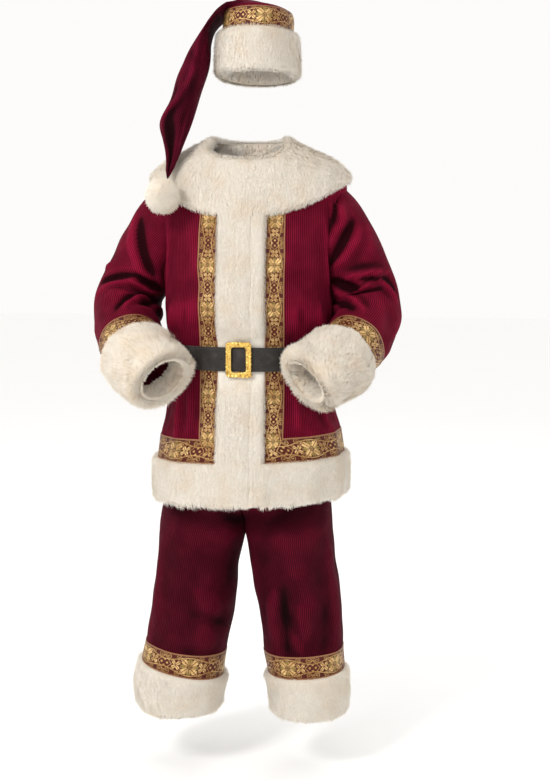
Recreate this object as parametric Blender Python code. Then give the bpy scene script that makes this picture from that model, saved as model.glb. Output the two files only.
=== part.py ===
"""A Santa suit, hollow, in the pose it is worn in: jacket with belt, trousers and pointed hat.

Heights in the tables are above the wearer's ground. Every object is then set down by MOUNT_HEIGHT,
so the part's origin is where the wearer's neck and shoulders hold the jacket up.
The wearer faces -Y, +X is the wearer's left and +Z is up. All sizes are in metres.
"""

import math

import bpy
import numpy as np

MOUNT_HEIGHT = 1.500
TINY_GAP = 0.0003  # between pieces that touch, and at seams
VELVET = 0.0018  # thickness of the ribbed velvet
RIBBON = 0.0010  # thickness of the brocade ribbon

# Jacket levels that several pieces share
HEM = 0.705
HEM_FUR_TOP = 0.797
HEM_RIBBON_MIDDLE = 0.826
HEM_RIBBON_TOP = 0.855
BELOW_BELT = 0.997
BELT_BOTTOM = 1.017
BELT_TOP = 1.074
ABOVE_BELT = 1.094
COLLAR_EDGE = 1.462
NECK = 1.558
HEM_TILT = 0.035  # rise of the skirt's levels for each metre towards +X
TILT_FADES = (0.870, 1.000)

# Front strips, each a distance from the front's middle line
PLACKET_HALF = 0.0565
RIBBON_OUTER = 0.1015
STRIP_AT_NECK = 0.72  # the strips' outer line as a part of the half width, where that is less
FRONT_STRIPS = (0.0, PLACKET_HALF / 2, PLACKET_HALF, (PLACKET_HALF + RIBBON_OUTER) / 2, RIBBON_OUTER)
RIBBON_COLUMN, SIDE_COLUMN = 2, 4  # the strips' lines where the ribbon starts and ends
SIDE_COLUMNS = 7  # from the ribbon's outer line to the side seam
BACK_COLUMNS = 20
LEFT_SEAM = SIDE_COLUMN + SIDE_COLUMNS
RIGHT_SEAM = LEFT_SEAM + BACK_COLUMNS
LAST_COLUMN = RIGHT_SEAM + LEFT_SEAM

PLACKET_FUR = 0.024
PLACKET_UNDER_BELT = 0.006
PLACKET_BESIDE_BELT = 0.0125
HEM_FUR = 0.016
COLLAR_FUR = 0.024
CUFF_FUR_START, CUFF_FUR_MOUTH = 0.024, 0.036
LEG_FUR = 0.015
HAT_FUR = 0.018
FUR_OVERHANG = 0.0010  # how far a fur edge bulges past its seam
FUR_BELOW_HEM = 0.010
FUR_BELOW_HAT = 0.008
FUR_ROUNDING = 0.003  # how far the outer line of a fur piece's edge is drawn in
COLLAR_ROUNDING = 0.004
THICK_FUR_ROUNDING = 0.006
FUR_EDGE_HEIGHT = 0.72  # of the outer line of a fur piece's edge, as a part of its thickness
FUR_BULGE_HEIGHT = 0.34  # where that edge bulges, as a part of its thickness
WAISTBAND = 0.0030

# height, half_width, front, back, squareness
TORSO_SECTIONS = (
    (0.705, 0.226, 0.178, 0.170, 2.25),
    (0.797, 0.225, 0.173, 0.164, 2.25),
    (0.855, 0.219, 0.167, 0.157, 2.25),
    (0.900, 0.209, 0.160, 0.149, 2.30),
    (0.950, 0.201, 0.151, 0.141, 2.35),
    (1.017, 0.195, 0.144, 0.134, 2.35),
    (1.074, 0.196, 0.144, 0.134, 2.35),
    (1.100, 0.204, 0.1455, 0.140, 2.35),
    (1.150, 0.208, 0.154, 0.143, 2.35),
    (1.220, 0.209, 0.152, 0.145, 2.35),
    (1.300, 0.214, 0.143, 0.144, 2.35),
    (1.370, 0.224, 0.129, 0.139, 2.35),
    (1.415, 0.231, 0.117, 0.130, 2.30),
    (1.445, 0.235, 0.108, 0.122, 2.25),
    (1.468, 0.231, 0.101, 0.115, 2.20),
    (1.492, 0.209, 0.094, 0.107, 2.15),
    (1.512, 0.172, 0.087, 0.099, 2.10),
    (1.530, 0.135, 0.080, 0.091, 2.05),
    (1.545, 0.105, 0.074, 0.085, 2.00),
    (1.558, 0.085, 0.071, 0.082, 2.00),
)

# height at the side seam, drop at the front, drop at the back
TORSO_ROWS = (
    (HEM, 0.0, 0.0),
    (0.750, 0.0, 0.0),
    (HEM_FUR_TOP, 0.0, 0.0),
    (HEM_RIBBON_MIDDLE, 0.0, 0.0),
    (HEM_RIBBON_TOP, 0.0, 0.0),
    (0.925, 0.0, 0.0),
    (BELOW_BELT, 0.0, 0.0),
    (BELT_BOTTOM, 0.0, 0.0),
    (BELT_TOP, 0.0, 0.0),
    (ABOVE_BELT, 0.0, 0.0),
    (1.130, 0.0, 0.0),
    (1.180, 0.005, 0.0),
    (1.235, 0.015, 0.0),
    (1.290, 0.025, 0.005),
    (1.345, 0.040, 0.010),
    (1.400, 0.060, 0.025),
    (COLLAR_EDGE, 0.078, 0.045),
    (1.494, 0.071, 0.036),
    (1.526, 0.060, 0.018),
    (NECK, 0.048, 0.004),
)

# angle (0 at the wearer's left, 90 at the back), width, depth at the hem, drift for each metre up
SKIRT_FOLDS = (
    (318.0, 9.0, 0.007, 30.0),
    (342.0, 8.0, 0.010, 15.0),
    (4.0, 9.0, 0.008, 10.0),
    (27.0, 8.0, 0.012, -10.0),
    (52.0, 10.0, 0.009, 0.0),
    (78.0, 8.0, 0.012, 0.0),
    (104.0, 10.0, 0.009, 10.0),
    (131.0, 8.0, 0.012, 10.0),
    (155.0, 9.0, 0.009, 0.0),
    (178.0, 8.0, 0.011, -10.0),
    (199.0, 9.0, 0.008, -20.0),
    (222.0, 8.0, 0.007, -30.0),
)

# angle, width, depth, low end, high end, drift for each metre up
BODICE_FOLDS = (
    (318.0, 9.0, 0.006, 1.074, 1.230, -60.0),
    (338.0, 8.0, 0.008, 1.074, 1.200, -90.0),
    (300.0, 7.0, 0.005, 1.180, 1.400, 90.0),
    (222.0, 9.0, 0.006, 1.074, 1.230, 60.0),
    (203.0, 8.0, 0.008, 1.074, 1.200, 90.0),
    (240.0, 7.0, 0.005, 1.180, 1.400, -90.0),
    (30.0, 10.0, 0.007, 1.074, 1.240, 40.0),
    (60.0, 9.0, 0.006, 1.074, 1.210, 0.0),
    (90.0, 9.0, 0.007, 1.074, 1.260, 0.0),
    (121.0, 9.0, 0.006, 1.074, 1.210, 0.0),
    (150.0, 10.0, 0.007, 1.074, 1.240, -40.0),
    (65.0, 9.0, 0.005, 1.240, 1.400, -80.0),
    (115.0, 9.0, 0.005, 1.240, 1.400, 80.0),
)

# left arm's x, right arm's x, y, height, half height, half depth along the sleeve's middle line
SLEEVE_SPINE = (
    (0.126, 0.130, 0.008, 1.436, 0.074, 0.074),
    (0.168, 0.174, 0.010, 1.400, 0.081, 0.081),
    (0.211, 0.222, 0.013, 1.340, 0.084, 0.084),
    (0.257, 0.275, 0.018, 1.252, 0.083, 0.083),
    (0.284, 0.306, 0.008, 1.172, 0.080, 0.080),
    (0.283, 0.303, -0.040, 1.112, 0.079, 0.079),
    (0.260, 0.272, -0.117, 1.073, 0.076, 0.073),
    (0.223, 0.231, -0.181, 1.040, 0.073, 0.066),
    (0.168, 0.174, -0.229, 1.006, 0.068, 0.056),
)
SLEEVE_COLUMNS = 16
SLEEVE_ROWS = 12  # from the shoulder to the ribbon
CUFF_ROWS = 3
SLEEVE_RIBBON_WIDTH = 0.055
CUFF_FUR_WIDTH = 0.125
SPINE_STEP = 0.05  # of the way from one row of the spine's table to the next
SPINE_TURN_REACH = 0.012  # the spine's direction is measured this far to each side
SHOULDER_FACING = (0.75, 0.0, 0.66)  # outwards from the top of the left shoulder

# place along the sleeve in metres, length, depth, angle round the sleeve (0 outside, 180 inside), spread
SLEEVE_FOLDS = (
    (0.150, 0.045, 0.006, 235.0, 45.0),
    (0.240, 0.034, 0.007, 245.0, 50.0),
    (0.305, 0.030, -0.007, 200.0, 60.0),
    (0.345, 0.030, 0.010, 195.0, 75.0),
    (0.395, 0.032, -0.006, 175.0, 75.0),
    (0.425, 0.030, 0.007, 190.0, 90.0),
    (0.330, 0.060, 0.006, 330.0, 60.0),
)

# height, half_width, front, back, middle x, squareness of the trousers' seat
HIP_SECTIONS = (
    (1.017, 0.1895, 0.1390, 0.1290, 0.0, 2.35),
    (0.940, 0.1900, 0.1390, 0.1300, 0.0, 2.30),
    (0.860, 0.1960, 0.1400, 0.1380, -0.001, 2.20),
    (0.780, 0.2020, 0.1400, 0.1400, -0.003, 2.15),
    (0.700, 0.2080, 0.1350, 0.1340, -0.007, 2.15),
    (0.600, 0.2120, 0.1250, 0.1280, -0.012, 2.15),
)
CROTCH = 0.600
LEGS_START = 0.705  # above this level the panels follow the hips alone

# height, inner x, outer x, middle y, half depth, lift of the outer side for each metre
LEFT_LEG_SECTIONS = (
    (0.600, -0.0120, 0.208, -0.002, 0.120, 0.0),
    (0.530, 0.0010, 0.213, -0.002, 0.115, 0.0),
    (0.440, 0.0150, 0.228, 0.000, 0.110, 0.0),
    (0.360, 0.0280, 0.233, 0.002, 0.106, 0.03),
    (0.305, 0.0350, 0.233, 0.002, 0.102, 0.06),
    (0.247, 0.0440, 0.236, 0.002, 0.100, 0.06),
    (0.195, 0.0560, 0.238, 0.002, 0.099, 0.03),
    (0.150, 0.0600, 0.236, 0.002, 0.098, 0.0),
)
RIGHT_LEG_SECTIONS = (
    (0.600, 0.0120, 0.230, -0.004, 0.120, 0.0),
    (0.530, 0.0280, 0.238, -0.005, 0.115, 0.0),
    (0.440, 0.0360, 0.250, -0.007, 0.110, 0.0),
    (0.360, 0.0500, 0.258, -0.009, 0.106, 0.06),
    (0.305, 0.0630, 0.266, -0.010, 0.103, 0.14),
    (0.247, 0.0720, 0.278, -0.010, 0.103, 0.20),
    (0.195, 0.0800, 0.291, -0.010, 0.104, 0.10),
    (0.150, 0.0830, 0.284, -0.010, 0.104, 0.02),
)
LEG_ROWS = (0.150, 0.195, 0.247, 0.305, 0.355, 0.410, 0.465, 0.520, 0.565, 0.600,
            0.630, 0.665, 0.705, 0.780, 0.880, BELT_BOTTOM - TINY_GAP)
LEG_HEM_ROW, LEG_FUR_ROW, LEG_RIBBON_ROW = 0, 2, 3
PANEL_COLUMNS = 8

# angle round the leg (0 outside, 90 at the front), width, depth, low end, high end
LEG_FOLDS = (
    (70.0, 16.0, 0.006, 0.290, 0.640),
    (118.0, 15.0, 0.007, 0.250, 0.560),
    (30.0, 16.0, 0.005, 0.220, 0.480),
    (230.0, 18.0, 0.007, 0.270, 0.600),
    (290.0, 18.0, 0.006, 0.220, 0.520),
)

# inner x, inner height, outer x, outer height, half depth, middle y; the inner side faces the fold
HAT_SECTIONS = (
    (-0.071, 1.722, 0.109, 1.722, 0.107, 0.000),
    (-0.069, 1.768, 0.107, 1.768, 0.106, 0.000),
    (-0.065, 1.815, 0.104, 1.815, 0.103, 0.000),
    (-0.060, 1.862, 0.101, 1.862, 0.097, 0.000),
    (-0.060, 1.866, 0.054, 1.878, 0.088, 0.000),
    (-0.063, 1.867, -0.002, 1.889, 0.080, -0.002),
    (-0.068, 1.862, -0.044, 1.876, 0.074, -0.006),
    (-0.0745, 1.850, -0.078, 1.854, 0.069, -0.011),
    (-0.0880, 1.826, -0.105, 1.826, 0.064, -0.016),
    (-0.0930, 1.795, -0.131, 1.793, 0.060, -0.021),
    (-0.0940, 1.760, -0.153, 1.757, 0.056, -0.027),
    (-0.1000, 1.718, -0.172, 1.714, 0.053, -0.034),
    (-0.1140, 1.665, -0.186, 1.659, 0.048, -0.044),
    (-0.1300, 1.617, -0.209, 1.610, 0.041, -0.055),
    (-0.1420, 1.573, -0.201, 1.564, 0.033, -0.070),
    (-0.1530, 1.533, -0.190, 1.524, 0.025, -0.090),
    (-0.1640, 1.499, -0.187, 1.491, 0.014, -0.108),
)
HAT_TIP = (-0.1805, -0.1205, 1.4660)
HAT_LEAN = 0.10  # the hat sits tipped back: its rings rise this much for each metre forwards
HAT_LEAN_ENDS = 9  # the ring of the tail where the lean has died away
HAT_COLUMNS = 18
HAT_FUR_ROW, HAT_RIBBON_ROW = 2, 3
POMPOM_RADIUS = 0.046
POMPOM_HANGS = (-0.14, -0.63, -0.86)  # the way from the tip to the pompom's middle

BELT_THICKNESS = 0.0038
BELT_LIFTS = (0.0063, 0.0063, 0.0063, 0.0043, 0.0023)  # off the jacket, at each front strip's line
BELT_LIFT = 0.0007  # off the jacket elsewhere
BELT_EDGE_PART = 0.2  # of the belt's width, where the rounding of its free end starts
BELT_TAIL_REACH = 0.0925  # of the free end, past the front's middle line
BELT_TAIL_ROUNDING = 0.009
BELT_TAIL_DIP = 0.0008  # of the very end, towards the jacket
BUCKLE_WIDTH, BUCKLE_HEIGHT = 0.064, 0.086
BUCKLE_OPENING_WIDTH, BUCKLE_OPENING_HEIGHT = 0.035, 0.0600
BUCKLE_THICKNESS = 0.006
BUCKLE_SQUARENESS = 9.0
BUCKLE_STATIONS = 40
BUCKLE_SCALLOPS = 20
BUCKLE_SCALLOP_DEPTH = 0.0010
BUCKLE_BAR_WIDTH, BUCKLE_BAR_THICKNESS = 0.0042, 0.0028
BUCKLE_BAR_X = -0.0036  # between the fixed end of the belt and the tail that passes over the bar
BUCKLE_BAR_OVERLAP = 0.0085  # how far the bar's ends run past the belt, into the frame
BUCKLE_BAR_CLEARANCE = 0.0006  # beyond the belt's edges, where the bar turns forwards
BUCKLE_BAR_BEHIND = 0.0002  # from the belt's inner face to the bar's back
BUCKLE_SLOPE = 0.3  # of the frame's width, in each slope from its crown

BURGUNDY = (0.155, 0.009, 0.032, 1.0)
FUR_WHITE = (0.86, 0.80, 0.70, 1.0)
BROCADE_GOLD = (0.42, 0.24, 0.08, 1.0)
BELT_CHARCOAL = (0.030, 0.028, 0.027, 1.0)
BUCKLE_GOLD = (0.83, 0.58, 0.16, 1.0)


def smoothstep(low, high, value):
    part = min(max((value - low) / (high - low), 0.0), 1.0)
    return part * part * (3.0 - 2.0 * part)


def squared_off(turn, squareness):
    """How far a superellipse reaches along and across at this turn from its first axis."""
    power = 2.0 / squareness
    return max(math.cos(turn), 0.0) ** power, max(math.sin(turn), 0.0) ** power


def table_at(table, key):
    """The other columns of a table at this value of its first column, on a smooth curve."""
    rows = np.array(sorted(table))
    keys = rows[:, 0]
    slopes = np.gradient(rows[:, 1:], keys, axis=0)
    place = int(np.clip(np.searchsorted(keys, key) - 1, 0, len(keys) - 2))
    span = keys[place + 1] - keys[place]
    t = min(max((key - keys[place]) / span, 0.0), 1.0)
    start, end = rows[place, 1:], rows[place + 1, 1:]
    ease = t * t * (3.0 - 2.0 * t)
    rise = t * (1.0 - t) ** 2 * span * slopes[place] - t * t * (1.0 - t) * span * slopes[place + 1]
    return start + (end - start) * ease + rise


def angle_between(first, second):
    """The signed turn in degrees from the second angle to the first, within half a turn."""
    return (first - second + 180.0) % 360.0 - 180.0


class Surface:
    """The outer face of a cloth as rows of points, with triangles and outward normals."""

    def __init__(self, rings, closed=False, turned_columns=(), tip=None):
        rings = np.array(rings, float)
        rows, columns = rings.shape[:2]
        self.points = rings.reshape(-1, 3)
        self.row = np.repeat(np.arange(rows), columns)
        self.column = np.tile(np.arange(columns), rows)
        triangles, cells = [], []
        for row in range(rows - 1):
            for column in range(columns if closed else columns - 1):
                a = row * columns + column
                b = row * columns + (column + 1) % columns
                c, d = b + columns, a + columns
                turned = column in turned_columns
                triangles += [(a, b, d), (b, c, d)] if turned else [(a, b, c), (a, c, d)]
                cells += [(row, column, 0), (row, column, 1)]
        if tip is not None:
            self.points = np.vstack([self.points, tip])
            self.row = np.append(self.row, rows)
            self.column = np.append(self.column, 0)
            start = (rows - 1) * columns
            for column in range(columns):
                triangles.append((start + column, start + (column + 1) % columns, len(self.points) - 1))
                cells.append((rows - 1, column, 0))
        self.triangles = np.array(triangles)
        self.cells = np.array(cells)
        self.normals = corner_normals([self])[0]

    def between(self, low_row, high_row, low_column=0, high_column=10**6):
        """Which triangles lie between these rows and columns."""
        row, column = self.cells[:, 0], self.cells[:, 1]
        return (row >= low_row) & (row < high_row) & (column >= low_column) & (column < high_column)


def corner_normals(surfaces):
    """Outward unit normals at each surface's points, shared where points of any surface coincide."""
    total = {}
    for surface in surfaces:
        corners = surface.points[surface.triangles]
        turns = np.cross(corners[:, 1] - corners[:, 0], corners[:, 2] - corners[:, 0])
        for triangle, turn in zip(surface.triangles, turns):
            for point in triangle:
                key = tuple(np.round(surface.points[point], 6))
                total[key] = total.get(key, 0.0) + turn
    found = []
    for surface in surfaces:
        normals = np.array([total[tuple(np.round(point, 6))] for point in surface.points])
        found.append(normals / np.linalg.norm(normals, axis=1)[:, None])
    return found


def inward_steps(points, normals, triangles):
    """For each point, the step that moves every edge of the sheet that it is on inwards by 1."""
    edges = {}
    for triangle in triangles:
        for first, second in zip(triangle, np.roll(triangle, -1)):
            edges[(first, second)] = True
    rim = [edge for edge in edges if (edge[1], edge[0]) not in edges]
    found = {}
    for first, second in rim:
        for end in (first, second):
            across = np.cross(normals[end], points[second] - points[first])
            found.setdefault(end, []).append(across / np.linalg.norm(across))
    steps = np.zeros_like(points)
    for end, inward in found.items():
        total = np.sum(inward, axis=0)
        steps[end] = total * len(inward) / max(total @ total, 0.5)
    return rim, steps


def layered_solid(name, surface, keep, inner, outer, material, rounded=0.0, overhang=0.0):
    """A closed wall over some of a surface's triangles, from the inner to the outer offset.

    Its edges stand half a seam's gap in from the triangles' edges. A rounded wall's edge has a
    middle line that bulges by the overhang, and its outer line is drawn in by rounded.
    """
    used, flat = np.unique(surface.triangles[keep], return_inverse=True)
    triangles = flat.reshape(-1, 3)
    points, normals = surface.points[used], surface.normals[used]
    inner = np.broadcast_to(inner, len(surface.points))[used][:, None]
    outer = np.broadcast_to(outer, len(surface.points))[used][:, None]
    overhang = np.broadcast_to(overhang, len(surface.points))[used][:, None]
    rim, steps = inward_steps(points, normals, triangles)
    on_rim = np.linalg.norm(steps, axis=1)[:, None] > 0.0
    inside = points + steps * TINY_GAP / 2 + normals * inner
    top = inner + (outer - inner) * np.where(on_rim & (rounded > 0.0), FUR_EDGE_HEIGHT, 1.0)
    outside = points + steps * (TINY_GAP / 2 + rounded) + normals * top
    layers = [outside, inside]
    if rounded > 0.0:
        bulge = inner + (outer - inner) * FUR_BULGE_HEIGHT
        layers.insert(1, points + steps * (TINY_GAP / 2 - overhang) + normals * bulge)
    count = len(points)
    last = count * (len(layers) - 1)
    faces = [tuple(triangle) for triangle in triangles]
    faces += [tuple(last + corner for corner in reversed(triangle)) for triangle in triangles]
    for level in range(len(layers) - 1):
        high, low = level * count, (level + 1) * count
        for first, second in rim:
            faces.append((high + second, high + first, low + first))
            faces.append((high + second, low + first, low + second))
    return add_object(name, np.vstack(layers), faces, material)


def add_object(name, points, faces, material):
    """One closed mesh as an object; points that no face uses are left out."""
    used, flat = np.unique([corner for face in faces for corner in face], return_inverse=True)
    mesh = bpy.data.meshes.new(name)
    mesh.from_pydata(np.asarray(points)[used].tolist(), [], flat.reshape(-1, 3).tolist())
    mesh.shade_smooth()
    mesh.set_sharp_from_angle(angle=math.radians(50.0))
    mesh.materials.append(material)
    part = bpy.data.objects.new(name, mesh)
    part.location.z = -MOUNT_HEIGHT
    bpy.context.scene.collection.objects.link(part)
    return part


def make_material(name, colour, roughness, metallic=0.0):
    material = bpy.data.materials.new(name)
    material.use_nodes = True
    shader = material.node_tree.nodes["Principled BSDF"]
    shader.inputs["Base Color"].default_value = colour
    shader.inputs["Roughness"].default_value = roughness
    shader.inputs["Metallic"].default_value = metallic
    return material


def add_cutter(name, surface, grow, rings):
    """A hidden solid inside a tube of closed rings, grown outwards and capped, for Booleans."""
    points = surface.points + surface.normals * grow
    columns = len(points) // rings
    last = (rings - 1) * columns
    faces = [tuple(triangle) for triangle in surface.triangles]
    low = len(points)
    caps = [points[:columns].mean(axis=0), points[last:].mean(axis=0)]
    for column in range(columns):
        after = (column + 1) % columns
        faces.append((after, column, low))
        faces.append((last + column, last + after, low + 1))
    cutter = add_object(name, np.vstack([points, caps]), faces, None)
    cutter.hide_render = True
    cutter.display_type = "WIRE"
    return cutter


def cut_away(part, cutter):
    boolean = part.modifiers.new("Cut by " + cutter.name, "BOOLEAN")
    boolean.operation = "DIFFERENCE"
    boolean.solver = "EXACT"
    boolean.object = cutter


def torso_point(level, share, side, back):
    """A point of the jacket; share runs from 0 at the middle line to 1 at the side seam."""
    half_width, front_depth, back_depth, squareness = table_at(TORSO_SECTIONS, level)
    depth = back_depth if back else front_depth
    forward, sideways = squared_off(share * math.pi / 2, squareness)
    x = side * half_width * sideways
    y = (1 if back else -1) * depth * forward
    angle = math.degrees(math.atan2(y, x))
    out = 0.0
    for centre, width, depth_at_hem, drift in SKIRT_FOLDS:
        across = angle_between(angle, centre + drift * (level - HEM)) / width
        out += depth_at_hem * math.exp(-across * across) * (1.0 - smoothstep(0.760, 0.990, level))
    for centre, width, fold_depth, low, high, drift in BODICE_FOLDS:
        if low < level < high:
            across = angle_between(angle, centre + drift * (level - low)) / width
            along = math.sin(math.pi * (level - low) / (high - low)) ** 2
            out += fold_depth * math.exp(-across * across) * along
    reach = math.hypot(x, y)
    tilt = HEM_TILT * x * (1.0 - smoothstep(*TILT_FADES, level))
    return (x * (1 + out / reach), y * (1 + out / reach), level + tilt)


def strip_share(distance, level):
    """The share of the front at this distance from its middle line."""
    half_width, _, _, squareness = table_at(TORSO_SECTIONS, level)
    scale = min(1.0, STRIP_AT_NECK * half_width / RIBBON_OUTER)
    return math.asin((distance * scale / half_width) ** (squareness / 2)) / (math.pi / 2)


def torso_ring(side_level, front_drop, back_drop):
    """One row of the jacket, from the front's middle line round by the wearer's left."""
    shares = []
    for distance in FRONT_STRIPS:
        share = strip_share(distance, side_level - front_drop)
        shares.append(share)
    for step in range(1, SIDE_COLUMNS + 1):
        shares.append(shares[SIDE_COLUMN] + (1.0 - shares[SIDE_COLUMN]) * step / SIDE_COLUMNS)

    def front(share, side):
        level = side_level - front_drop * math.cos(share * math.pi / 2) ** 2
        return torso_point(level, share, side, False)

    def back(share, side):
        level = side_level - back_drop * math.cos(share * math.pi / 2) ** 2
        return torso_point(level, share, side, True)

    half_back = BACK_COLUMNS // 2
    ring = [front(share, 1) for share in shares]
    ring += [back(1.0 - step / half_back, 1) for step in range(1, half_back + 1)]
    ring += [back(step / half_back, -1) for step in range(1, half_back)]
    ring += [front(share, -1) for share in reversed(shares)]
    return ring


def row_at(level):
    return [row[0] for row in TORSO_ROWS].index(level)


def make_torso():
    """The jacket's whole outer face. Its first and last columns meet at the front's middle line."""
    rings = [torso_ring(*row) for row in TORSO_ROWS]
    return Surface(rings, turned_columns=range(RIGHT_SEAM, LAST_COLUMN))


def torso_closed_rings(torso):
    """The torso's rows without the repeated last column."""
    return torso.points.reshape(len(TORSO_ROWS), LAST_COLUMN + 1, 3)[:, :LAST_COLUMN]


def ribbon_masks(torso):
    """The front ribbons and the hem ribbon, which meet on the diagonal of the corner."""
    row, column, half = torso.cells.T
    low, high = row_at(HEM_FUR_TOP), row_at(HEM_RIBBON_TOP)
    distance = np.minimum(column, LAST_COLUMN - 1 - column)
    in_strip = (distance >= RIBBON_COLUMN) & (distance < SIDE_COLUMN)
    step_up = row - low
    step_out = distance - RIBBON_COLUMN
    above = (step_up > step_out) | ((step_up == step_out) & (half == 1))
    upright = in_strip & above & (row >= low) & (row < row_at(COLLAR_EDGE))
    level = (row >= low) & (row < high) & (distance >= RIBBON_COLUMN) & ~upright
    left = column < LAST_COLUMN // 2
    return upright & left, upright & ~left, level


def placket_thickness(torso):
    """The fur placket's outer offset at each point: pressed flat under the belt."""
    full = np.full(len(torso.points), PLACKET_FUR)
    for level in (BELT_BOTTOM, BELT_TOP):
        full[torso.row == row_at(level)] = PLACKET_UNDER_BELT
    for level in (BELOW_BELT, ABOVE_BELT):
        full[torso.row == row_at(level)] = PLACKET_BESIDE_BELT
    return full


def make_jacket(velvet, fur, brocade):
    torso = make_torso()
    top = row_at(NECK)
    back = layered_solid("jacket_back", torso, torso.between(0, top, LEFT_SEAM, RIGHT_SEAM),
                         -VELVET, 0.0, velvet)
    left = layered_solid("jacket_front_left", torso, torso.between(0, top, 0, LEFT_SEAM),
                         -VELVET, 0.0, velvet)
    right = layered_solid("jacket_front_right", torso, torso.between(0, top, RIGHT_SEAM, LAST_COLUMN),
                          -VELVET, 0.0, velvet)

    ribbon_left, ribbon_right, ribbon_hem = ribbon_masks(torso)
    for name, keep in (("ribbon_front_left", ribbon_left), ("ribbon_front_right", ribbon_right),
                       ("ribbon_hem", ribbon_hem)):
        layered_solid(name, torso, keep, TINY_GAP, TINY_GAP + RIBBON, brocade)

    make_placket(torso, fur)
    beside_front = np.minimum(torso.column, LAST_COLUMN - torso.column)
    below = np.where((torso.row == 0) & (beside_front > 0), FUR_BELOW_HEM, 0.0)
    past_seam = np.where(beside_front > SIDE_COLUMN, FUR_OVERHANG, 0.0)
    hem_top, collar_edge = row_at(HEM_FUR_TOP), row_at(COLLAR_EDGE)
    layered_solid("fur_hem", torso, torso.between(0, hem_top), TINY_GAP, HEM_FUR, fur,
                  rounded=FUR_ROUNDING, overhang=below + past_seam * (torso.row == hem_top))
    layered_solid("fur_collar", torso, torso.between(collar_edge, top), TINY_GAP, COLLAR_FUR, fur,
                  rounded=COLLAR_ROUNDING, overhang=past_seam * (torso.row == collar_edge))
    return torso, (left, right, back)


def make_placket(torso, fur):
    """The fur placket spans the middle line, so its points come from both ends of the rows."""
    low, high = row_at(HEM_FUR_TOP), row_at(COLLAR_EDGE)
    thickness = placket_thickness(torso)
    rings, outer = [], []
    for row in range(low, high + 1):
        here = np.flatnonzero(torso.row == row)
        across = list(here[LAST_COLUMN - RIBBON_COLUMN:]) + list(here[1:RIBBON_COLUMN + 1])
        rings.append(torso.points[across])
        outer += list(thickness[across])
    strip = Surface(rings, turned_columns=range(0, RIBBON_COLUMN))
    strip.normals = normals_like(torso, strip)
    sides = (strip.column == 0) | (strip.column == 2 * RIBBON_COLUMN)
    ends = (strip.row == 0) | (strip.row == high - low)
    belt = np.isin(strip.row + low, (row_at(BELT_BOTTOM), row_at(BELT_TOP)))
    overhang = np.where(sides & ~ends & ~belt, FUR_OVERHANG, 0.0)
    everything = np.ones(len(strip.triangles), bool)
    layered_solid("fur_placket", strip, everything, TINY_GAP, np.array(outer), fur,
                  rounded=FUR_ROUNDING, overhang=overhang)


def normals_like(source, strip):
    """The source surface's normals at the strip's points."""
    known = {}
    for point, normal in zip(source.points, source.normals):
        known[tuple(np.round(point, 6))] = normal
    return np.array([known[tuple(np.round(point, 6))] for point in strip.points])


def spine_samples(side):
    """The sleeve's middle line and half sizes at closely spaced points, and the length up to each."""
    table = np.array(SLEEVE_SPINE)
    x = table[:, 0] if side > 0 else -table[:, 1]
    knots = np.column_stack([x, table[:, 2:]])
    ends = np.vstack([2 * knots[0] - knots[1], knots, 2 * knots[-1] - knots[-2]])
    dense = []
    for before, start, end, after in zip(ends, ends[1:], ends[2:], ends[3:]):
        for t in np.arange(0.0, 1.0, SPINE_STEP):
            dense.append(0.5 * (2 * start + (end - before) * t
                                + (2 * before - 5 * start + 4 * end - after) * t * t
                                + (3 * start - before - 3 * end + after) * t ** 3))
    dense.append(knots[-1])
    dense = np.array(dense)
    steps = np.linalg.norm(np.diff(dense[:, :3], axis=0), axis=1)
    return dense, np.concatenate([[0.0], np.cumsum(steps)])


def sleeve_stations(length):
    """Where the sleeve's rings stand along it, with the ribbon's and the fur's edges among them."""
    fur_start = length - CUFF_FUR_WIDTH
    ribbon_start = fur_start - SLEEVE_RIBBON_WIDTH
    upper = list(np.linspace(0.0, ribbon_start, SLEEVE_ROWS))
    cuff = list(np.linspace(fur_start, length, CUFF_ROWS + 1))
    return upper + [(ribbon_start + fur_start) / 2] + cuff


def sleeve_rings(side):
    dense, along = spine_samples(side)
    rings = []
    outward = np.array(SHOULDER_FACING) * (side, 1.0, 1.0)
    for station in sleeve_stations(along[-1]):
        centre = np.array([np.interp(station, along, dense[:, axis]) for axis in range(3)])
        half_height, half_depth = (np.interp(station, along, dense[:, axis]) for axis in (3, 4))
        ends = [[np.interp(station + reach, along, dense[:, axis]) for axis in range(3)]
                for reach in (-SPINE_TURN_REACH, SPINE_TURN_REACH)]
        tangent = np.subtract(ends[1], ends[0])
        tangent /= np.linalg.norm(tangent)
        outward = outward - tangent * (outward @ tangent)
        outward /= np.linalg.norm(outward)
        around = np.cross(tangent, outward)
        ring = []
        for column in range(SLEEVE_COLUMNS):
            angle = 360.0 * column / SLEEVE_COLUMNS
            grown = 0.0
            for place, length, depth, centre_angle, spread in SLEEVE_FOLDS:
                turn = angle_between(side * angle, side * centre_angle) / spread
                shift = (station - place) / length
                grown += depth * math.exp(-turn * turn - shift * shift)
            upward = (half_height + grown) * math.cos(math.radians(angle))
            sideways = (half_depth + grown) * math.sin(math.radians(angle))
            ring.append(centre + outward * upward + around * sideways)
        rings.append(ring)
    return rings


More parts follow.
